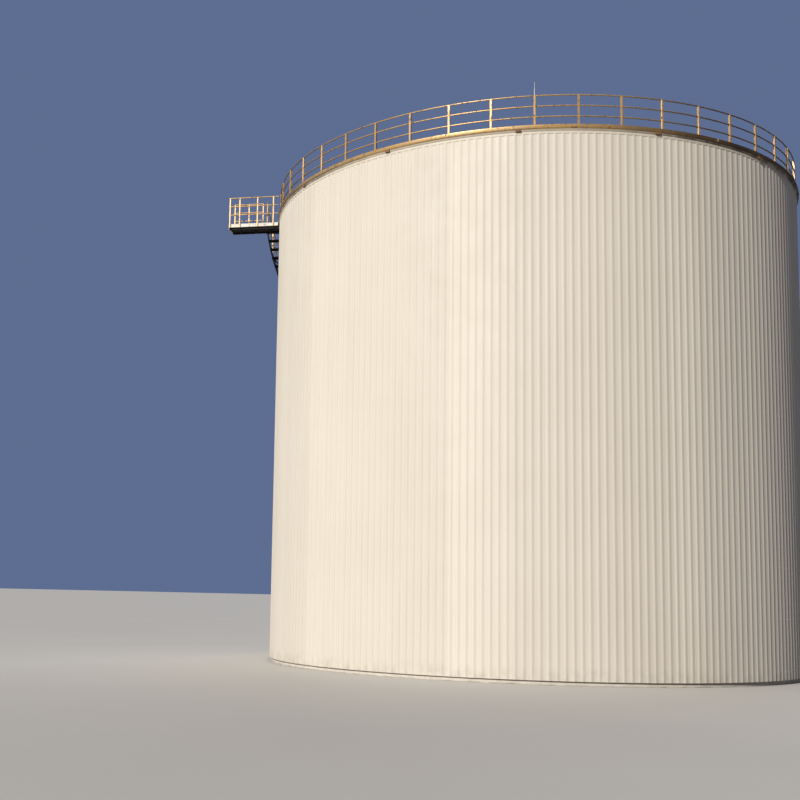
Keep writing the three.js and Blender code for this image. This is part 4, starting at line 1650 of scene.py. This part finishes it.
    def bolts(self) -> list[Solid]:
        """Two bolts through each post's foot into the edge plate.

        Returns:
            All the heads.
        """
        head = bolt(0.009, 0.008)
        across = self.post_half * 2.0 + TANK.seat
        parts = []
        for y, posts, side in ((self.near, self.near_posts, -1.0), (self.far, self.far_posts, 1.0)):
            spots = np.array([[x, y + side * across, z] for x in posts for z in self.bolt_levels])
            parts.append(head.copies(places_from(-side * X_AXIS, Z_AXIS, side * Y_AXIS, spots)))
        return parts


@dataclass(frozen=True)
class Flight:
    """One flight of the stair: its name, where it starts, how high, and its treads and landing."""

    name: str
    foot: float
    level: float
    treads: int
    landing: str | None


@dataclass
class Stair:
    """Three flights that climb the wall, with grated treads, landings, brackets and pipe rails."""

    step_angle: float = 2.3
    treads: int = 23
    risers: int = 72
    rise: float = TANK.flange_top / risers
    top_azimuth: float = -84.1
    landing_angle: float = 5.2
    tread_depth: float = 0.285
    tread_thickness: float = 0.03
    bearing_pitch: float = 0.034
    below: float = 0.02
    above: float = 0.24
    ground_gap: float = 0.0005
    brackets: tuple[int, ...] = (3, 9, 15, 21)
    lowest_bracket: float = 0.75
    bar_half: float = 0.0025
    bar_drop: float = 0.001
    rod_half: float = 0.003
    rod_depth: float = 0.011
    landing_bars: int = 23
    landing_plate: float = 0.15
    landing_plate_ease: float = 0.002
    post_half: float = 0.02
    post_steps: int = 4
    handrail: float = 1.2
    midrail: float = 0.72
    rail_start: float = 0.2
    level_start: float = 0.3
    level_end: float = 0.4
    landing_post: float = 0.8
    walkway_far: float = Walkway.far + TANK.seat

    def flights(self) -> list[Flight]:
        """The flights from the ground up.

        Returns:
            Each starts a landing above and beyond the end of the one before. The last has one tread
            more, which is level with the walkway.
        """
        turn = self.treads * self.step_angle
        foot = self.top_azimuth - self.step_angle - 3 * turn - 2 * self.landing_angle
        names = (("lower", 0, "lower"), ("middle", 0, "upper"), ("upper", 1, None))
        return [Flight(name, foot + k * (turn + self.landing_angle), k * (self.treads + 1) * self.rise,
                       self.treads + more, landing) for k, (name, more, landing) in enumerate(names)]

    def top_of(self, flight: Flight) -> float:
        """Azimuth at which a flight ends."""
        return flight.foot + flight.treads * self.step_angle

    def walkway_edge(self, distance: float) -> float:
        """Azimuth at which a circle of this radius meets the walkway's straight edge."""
        return -math.degrees(math.acos(-self.walkway_far / distance))

    def build(self, shop: Workshop) -> None:
        """Builds flights, landings and rails.

        Args:
            shop: Makes the pieces.
        """
        for flight in self.flights():
            parts = [*self.stringers(flight), *self.tread_set(flight), *self.bracket_set(flight)]
            shop.piece(f"stair_{flight.name}_steps", parts, Slot.DARK, [f"stair_flight_{flight.name}"])
            rail = self.rail(flight)
            shop.piece(f"stair_{flight.name}_rail", rail, Slot.GOLDEN, [f"stair_rail_{flight.name}"])
            if flight.landing:
                node = f"landing_{flight.landing}"
                shop.piece(f"{node}_grating", self.landing(flight), Slot.DARK, [node])
        shop.piece("stair_bolts", self.bolts(), Slot.STEEL)

    def pitch(self, flight: Flight, azimuth: Any) -> Any:
        """Level of the line through the treads' middles: the flight's, plus one rise for each step."""
        return flight.level + (azimuth - flight.foot) / self.step_angle * self.rise

    def stringers(self, flight: Flight) -> list[Solid]:
        """Two plates that climb with the flight, cut level on the ground and ended at the walkway's edge.

        Args:
            flight: The flight.

        Returns:
            Inner and outer stringer with eased edges.
        """
        parts = []
        for inner in (TANK.stair_inner - TANK.stringer, TANK.stair_outer):
            end = self.top_of(flight)
            if flight.landing is None:
                end = min(end, self.walkway_edge(inner + TANK.stringer / 2.0))
            turn = np.linspace(flight.foot, end, 52)
            line = self.pitch(flight, turn)
            low, high = np.maximum(line - self.below, self.ground_gap), line + self.above
            outer = inner + TANK.stringer
            ease = 0.0015
            corners = [
                (inner, low + ease), (inner + ease, low), (outer - ease, low), (outer, low + ease),
                (outer, high - ease), (outer - ease, high), (inner + ease, high), (inner, high - ease),
            ]
            outline = np.stack([np.stack([np.full_like(turn, x), z], axis=-1) for x, z in corners], axis=1)
            parts.append(revolve(outline, turn))
        return parts

    def panel(self) -> list[Solid]:
        """A tread's grating at the tank's front with its top at level 0.

        Returns:
            Bearing bars from stringer to stringer, and rods across them.
        """
        half, deep = self.tread_depth / 2.0, self.tread_thickness
        inner, outer = -TANK.stair_inner, -TANK.stair_outer
        count = int(round(self.tread_depth / self.bearing_pitch)) + 1
        lines = np.linspace(-half + self.bar_half, half - self.bar_half, count)
        bars = [flat([x - self.bar_half, outer, -deep], [x + self.bar_half, inner, -self.bar_drop])
                for x in lines]
        rods = [flat([-half, y - self.rod_half, -self.rod_depth], [half, y + self.rod_half, 0.0])
                for y in np.linspace(outer + 0.05, inner - 0.05, 5)]
        return bars + rods

    def tread_set(self, flight: Flight) -> list[Solid]:
        """Grated treads with a nosing bar and end plates.

        Args:
            flight: The flight.

        Returns:
            All its treads.
        """
        half, inner, outer = self.tread_depth / 2.0, -TANK.stair_inner, -TANK.stair_outer
        deep = self.tread_thickness
        nosing = bar([-half, outer, -deep], [-half + 0.03, inner, 0.0], 0.002)
        ends = [bar([-half, y - 0.003, -deep], [half, y + 0.003, 0.0], 0.001)
                for y in (outer + 0.003, inner - 0.003)]
        tread = gather([nosing, *ends, *self.panel()])
        number = np.arange(1, flight.treads + 1)
        azimuths = flight.foot + (number - 0.5) * self.step_angle
        places = turned_to(azimuths, flight.level + number * self.rise)
        if flight.landing:
            return [tread.copies(places)]
        last = gather([nosing, *self.slanted_panel(azimuths[-1])])
        return [tread.copies(places[:-1]), last.copies(places[-1:])]

    def slanted_panel(self, azimuth: float) -> list[Solid]:
        """The grating of the tread that ends on the walkway's straight edge, drawn at the tank's front.

        Turned to azimuth a, a point (x, y) lies at x sin a + y cos a from the tank's middle along Y.
        The tread ends where that is the walkway's edge: x = (edge - y cos a) / sin a.

        Args:
            azimuth: Where the tread goes.

        Returns:
            Bearing bars, end plates, rods and the slanted bar along the walkway.
        """
        half, deep, plate = self.tread_depth / 2.0, self.tread_thickness, 0.006
        turn = math.radians(azimuth)
        rows = np.linspace(-TANK.stair_outer, -TANK.stair_inner, 7)
        limits = (self.walkway_far - rows * math.cos(turn)) / math.sin(turn)
        lines = np.arange(-half + self.bar_half, limits[0] - plate, self.bearing_pitch)
        bars = [flat([x - self.bar_half, rows[0], -deep], [x + self.bar_half, rows[-1], -self.bar_drop])
                for x in lines]
        rods = [flat([-half, y - self.rod_half, -self.rod_depth], [x - plate / 2.0, y + self.rod_half, 0.0])
                for x, y in zip(limits[1:-1], rows[1:-1])]
        ends = [flat([-half, y - 0.003, -deep], [x - plate / 2.0, y + 0.003, 0.0])
                for x, y in ((limits[0], rows[0] + 0.003), (limits[-1], rows[-1] - 0.003))]
        slant = np.array([[limits[0] - plate, rows[0]], [limits[0], rows[0]],
                          [limits[-1], rows[-1]], [limits[-1] - plate, rows[-1]]])
        edge = sweep(slant, np.outer([-deep, 0.0], Z_AXIS), X_AXIS, Y_AXIS)
        return [*bars, *rods, *ends, edge]

    def bracket(self) -> Solid:
        """A wall bracket at the front with its top at level 0: arm, strut, gusset and wall plates.

        Returns:
            The bracket.
        """
        half, size = 0.025, 0.05
        wall, outer = -TANK.clad_radius, -TANK.stair_outer
        arm = bar([-half, outer, -size], [half, wall + 0.02, 0.0])
        reach = TANK.stair_outer - TANK.clad_radius
        start = np.array([0.0, outer + 0.05, -size])
        stop = np.array([0.0, wall + 0.02, -size - reach + 0.03])
        run = (stop - start) / np.linalg.norm(stop - start)
        section = clipped_rectangle(half, half, 0.004)
        strut = sweep(section, np.stack([start, stop]), X_AXIS, np.cross(run, X_AXIS))
        pads = [bar([-0.075, wall - 0.008, z - 0.09], [0.075, wall + 0.004, z + 0.09], 0.002)
                for z in (-size / 2.0, -size - reach + 0.02)]
        gusset = sweep(np.array([[wall, -size], [wall - 0.12, -size], [wall, -size - 0.12]]),
                       np.array([[-0.004, 0, 0], [0.004, 0, 0]]), Y_AXIS, Z_AXIS)
        return gather([arm, strut, *pads, gusset])

    def bracket_places(self, flight: Flight) -> tuple[Array, Array]:
        """Where a flight's brackets are.

        Args:
            flight: The flight.

        Returns:
            Their azimuths and top levels.
        """
        number = np.array(self.brackets)
        azimuths = flight.foot + (number - 0.5) * self.step_angle
        return azimuths, flight.level + number * self.rise - self.tread_thickness

    def bracket_set(self, flight: Flight) -> list[Solid]:
        """The brackets under a flight, cut off above the ground.

        Args:
            flight: The flight.

        Returns:
            Its brackets.
        """
        azimuths, levels = self.bracket_places(flight)
        clear = levels > self.lowest_bracket
        return [self.bracket().copies(turned_to(azimuths[clear], levels[clear]))]

    def landing_level(self, flight: Flight) -> float:
        """Level of the landing at the top of a flight."""
        return flight.level + (self.treads + 1) * self.rise

    def landing_brackets(self, flight: Flight) -> Array:
        """Azimuths of the two brackets under that landing."""
        return self.top_of(flight) + self.landing_angle * np.array([0.2, 0.8])

    def landing(self, flight: Flight) -> list[Solid]:
        """Level landing: edge plates round the stair's curve, grating between them, two brackets.

        Args:
            flight: The flight that it ends.

        Returns:
            Its solids.
        """
        start = self.top_of(flight)
        level = self.landing_level(flight)
        turn = np.linspace(start + 0.003, start + self.landing_angle - 0.003, 9)
        parts = []
        for inner in (TANK.stair_inner - TANK.stringer, TANK.stair_outer):
            outer = inner + TANK.stringer
            bottom, ease = level - self.landing_plate, self.landing_plate_ease
            outline = np.array([[inner, bottom], [outer, bottom], [outer, level - ease],
                                [outer - ease, level], [inner + ease, level], [inner, level - ease]])
            parts.append(revolve(outline, turn))
        lines = np.linspace(start + 0.02, start + self.landing_angle - 0.02, self.landing_bars)
        bearing = flat([-self.bar_half, -TANK.stair_outer, -self.tread_thickness],
                       [self.bar_half, -TANK.stair_inner, -self.bar_drop])
        parts.append(bearing.copies(turned_to(lines, level)))
        for distance in np.linspace(TANK.stair_inner + 0.05, TANK.stair_outer - 0.05, 6):
            near, far, low = distance - self.rod_half, distance + self.rod_half, level - self.rod_depth
            outline = np.array([[near, low], [far, low], [far, level], [near, level]])
            parts.append(revolve(outline, turn))
        places = turned_to(self.landing_brackets(flight), level - self.tread_thickness)
        parts.append(self.bracket().copies(places))
        return parts

    def rail(self, flight: Flight) -> list[Solid]:
        """Outer rail of a flight and of the landing above it.

        Args:
            flight: The flight.

        Returns:
            Square posts, handrail and midrail.
        """
        radius = TANK.stair_outer + TANK.stringer + TANK.seat + self.post_half
        half = self.post_half
        top = self.top_of(flight)
        number = np.arange(1, flight.treads + 1, self.post_steps)
        rail_end = top
        if flight.landing is None:
            number = np.append(number, flight.treads)
            rail_end = min(top, self.walkway_edge(radius + TANK.rail_pipe))
        spots = flight.foot + (number - 0.5) * self.step_angle
        post = bar([-half, -radius - half, self.below], [half, -radius + half, self.handrail], 0.003)
        parts = [post.copies(turned_to(spots, self.pitch(flight, spots)))]
        climb = np.linspace(flight.foot + self.rail_start, rail_end, 60)
        end = top + self.landing_angle - self.level_end
        for above in (self.handrail, self.midrail):
            turns, levels = climb, self.pitch(flight, climb) + above
            if flight.landing:
                level_run = np.linspace(top + self.level_start, end, 10)
                turns = np.concatenate([turns, level_run])
                levels = np.concatenate([levels, np.full(10, levels[-1])])
            path = outward_at(turns) * radius
            path[:, 2] = levels
            parts.append(tube(path, TANK.rail_pipe, 12))
        if flight.landing:
            height = self.pitch(flight, top) + self.handrail
            foot = self.landing_level(flight) - self.landing_plate
            corner = bar([-half, -radius - half, foot], [half, -radius + half, height], 0.003)
            parts.append(corner.copies(turned_to(np.array([top + self.landing_post, end]))))
        return parts

    def bolts(self) -> list[Solid]:
        """Four bolts in each of the two wall plates of each bracket.

        Returns:
            All the heads.
        """
        azimuths, levels = [], []
        for flight in self.flights():
            spots, tops = self.bracket_places(flight)
            clear = tops > self.lowest_bracket
            azimuths.append(spots[clear])
            levels.append(tops[clear])
            if flight.landing:
                azimuths.append(self.landing_brackets(flight))
                levels.append(np.full(2, self.landing_level(flight) - self.tread_thickness))
        places = turned_to(np.concatenate(azimuths), np.concatenate(levels))
        wall = -TANK.clad_radius - 0.008
        reach = TANK.stair_outer - TANK.clad_radius
        spots = np.array([[x, wall, z + dz] for z in (-0.025, -0.03 - reach) for x in (-0.055, 0.055)
                          for dz in (-0.065, 0.065)])
        heads = bolt(0.01, 0.01).copies(places_from(X_AXIS, Z_AXIS, -Y_AXIS, spots))
        return [heads.copies(places)]


@dataclass
class Manway:
    """Round manway low on the wall: neck, bolted cover, davit and trim ring."""

    azimuth: float = 85.0
    level: float = 1.02
    radius: float = 0.3
    cover: float = 0.38
    bolts: int = 20
    bolt_circle: float = 0.345
    davit_pipe: float = 0.017

    def build(self, shop: Workshop) -> None:
        """Builds the manway in one piece."""
        place = facing_out(np.array([self.azimuth]), TANK.clad_radius, self.level)
        shop.piece("manway", [part.copies(place) for part in self.solids()], Slot.STEEL, ["shell_manway"])

    def solids(self) -> list[Solid]:
        """The manway standing on its wall: x along it, y up, z out.

        Returns:
            Its solids.
        """
        radius, cover, flange = self.radius, self.cover, 0.112
        neck = turned([(0, -0.02), (0.47, -0.02), (0.47, 0.002), (0.466, 0.006), (0.31, 0.006),
                       (radius, 0.014), (radius, flange), (cover, flange), (cover, 0.138), (0.376, 0.142),
                       (0, 0.142)], 64)
        lid = turned([(0, 0.144), (0.376, 0.144), (cover, 0.148), (cover, 0.168), (0.372, 0.174),
                      (0.2, 0.174), (0, 0.175)], 64)
        spots = outward_at(equal_steps(0.0, self.bolts)) * self.bolt_circle
        head = bolt(0.016, 0.018, 1.3)
        front = head.copies(at_points(spots + [0, 0, 0.172]))
        back = head.copies(places_from(X_AXIS, -Y_AXIS, -Z_AXIS, spots + [0, 0, flange]))
        post = tube(np.array([[0.41, y, 0.11] for y in (-0.1, 0.1, 0.3, 0.47)]), self.davit_pipe, 12)
        turn = np.linspace(0.0, math.pi / 2.0, 7)
        bend = np.stack([0.35 + 0.06 * np.cos(turn), 0.47 + 0.06 * np.sin(turn), np.full(7, 0.11)], axis=-1)
        arm_end = np.array([[0.15, 0.53, 0.14], [0.0, 0.53, 0.19]])
        arm = tube(np.concatenate([bend, arm_end]), self.davit_pipe, 12)
        brackets = [bar([0.36, y - 0.012, 0.09], [0.43, y + 0.012, 0.135]) for y in (-0.06, 0.12)]
        eye = tube(np.array([[0.0, 0.54, 0.19], [0.0, 0.46, 0.19], [0.0, 0.385, 0.185]]), 0.008, 8)
        lug = bar([-0.02, 0.3, 0.165], [0.02, 0.4, 0.2])
        cosine, sine = np.cos(turn * 2.0), np.sin(turn * 2.0)
        grip = np.stack([0.09 * cosine, np.full(7, -0.12), 0.172 + 0.05 * sine], axis=-1)
        handle = sweep(circle(0.008, 8), grip, Y_AXIS, np.stack([cosine, np.zeros(7), sine], axis=-1))
        return [neck, lid, front, back, post, arm, *brackets, eye, lug, handle]


# Studio


@dataclass(frozen=True)
class ViewPoint:
    """The camera: where it stands and how it looks, fitted to the ribs and edges in the picture."""

    position: tuple[float, float, float] = (0.0, -41.353, 2.3816)
    focal: float = 1158.27
    centre: tuple[float, float] = (280.0, 458.673)
    picture: float = 800.0
    sensor: float = 36.0
    pitch: float = 0.11308
    roll: float = 0.02285
    pan: float = -0.21127

    def build(self) -> None:
        """Makes the camera.

        Forward is (sin pan cos pitch, cos pan cos pitch, sin pitch); right is (cos pan, -sin pan, 0);
        up is right crossed with forward; roll turns right and up about forward.
        """
        level = math.cos(self.pitch)
        forward = Vector((math.sin(self.pan) * level, math.cos(self.pan) * level, math.sin(self.pitch)))
        right = Vector((math.cos(self.pan), -math.sin(self.pan), 0.0))
        up = right.cross(forward)
        side = right * math.cos(self.roll) + up * math.sin(self.roll)
        top = up * math.cos(self.roll) - right * math.sin(self.roll)
        data = bpy.data.cameras.new("camera")
        data.sensor_width = self.sensor
        data.lens = self.sensor * self.focal / self.picture
        data.shift_x = (self.picture / 2.0 - self.centre[0]) / self.picture
        data.shift_y = (self.centre[1] - self.picture / 2.0) / self.picture
        data.clip_start, data.clip_end = 0.5, 2000.0
        camera = bpy.data.objects.new("camera", data)
        bpy.context.scene.collection.objects.link(camera)
        turn = Matrix((side, top, -forward)).transposed().to_4x4()
        camera.matrix_world = Matrix.Translation(self.position) @ turn
        bpy.context.scene.camera = camera


@dataclass(frozen=True)
class Lamp:
    """A distant light: where it stands round the tank, how high, and the angle that it fills."""

    name: str
    azimuth: float
    elevation: float
    strength: float
    colour: Colour
    spread: float

    def build(self) -> None:
        """Makes the light.

        It comes from (sin a cos e, -cos a cos e, sin e) at azimuth a and elevation e.
        """
        data = bpy.data.lights.new(self.name, "SUN")
        data.energy, data.color, data.angle = self.strength, self.colour, math.radians(self.spread)
        lamp = bpy.data.objects.new(self.name, data)
        bpy.context.scene.collection.objects.link(lamp)
        turn, rise = math.radians(self.azimuth), math.radians(self.elevation)
        shine = -Vector((math.sin(turn) * math.cos(rise), -math.cos(turn) * math.cos(rise), math.sin(rise)))
        lamp.rotation_euler = shine.to_track_quat("-Z", "Y").to_euler()


@dataclass(frozen=True)
class Studio:
    """Pale floor, a soft key light, weaker ones from the left and behind, and an even sky."""

    floor_radius: float = 600.0
    floor_finish: Finish = PaleFloor("pale_floor", (0.68, 0.66, 0.62), 0.85, specular=0.2)
    lamps: tuple[Lamp, ...] = (
        Lamp("key_light", -25.8, 25.0, 3.45, (1.0, 0.945, 0.86), spread=3.0),
        Lamp("side_light", -100.0, 8.0, 0.6, (1.0, 0.94, 0.82), spread=40.0),
        Lamp("fill_light", 172.0, 30.0, 0.7, (0.86, 0.92, 1.0), spread=40.0),
    )
    sky_colour: Colour = (0.11, 0.155, 0.285)
    sky_thrown: Colour = (0.055, 0.07, 0.12)
    grading: str = "Standard"

    def build(self) -> None:
        """Makes floor, lights and sky, and sets the plain grading that the colours are mixed for."""
        bpy.context.scene.view_settings.view_transform = self.grading
        reach, bottom, top = self.floor_radius, -0.4, -0.001
        slab = turned([(0, bottom), (reach, bottom), (reach, top), (0, top)], 96)
        floor = bpy.data.objects.new("floor", make_mesh("floor", slab))
        floor.data.materials.append(self.floor_finish.material())
        bpy.context.scene.collection.objects.link(floor)
        for lamp in self.lamps:
            lamp.build()
        world = bpy.data.worlds.new("pale_sky")
        bpy.context.scene.world = world
        world.use_nodes = True
        graph = Graph(world.node_tree)
        seen = graph.add("ShaderNodeLightPath").outputs["Is Camera Ray"]
        sky = graph.add("ShaderNodeBackground", {"Color": graph.mix(seen, self.sky_thrown, self.sky_colour)})
        graph.add("ShaderNodeOutputWorld", {"Surface": sky.outputs[0]})


def main() -> None:
    """Builds the tank's pieces, then the studio."""
    logging.basicConfig(level=logging.INFO, format="%(message)s")
    shop = Workshop({slot: finish.material() for slot, finish in FINISHES.items()})
    for assembly in (Foundation(), Cladding(), Roof(), Rim(), GuardRail(), Walkway(), Stair(), Manway()):
        assembly.build(shop)
    log.info("%d pieces", shop.made)
    Studio().build()
    ViewPoint().build()


if __name__ == "__main__":
    main()
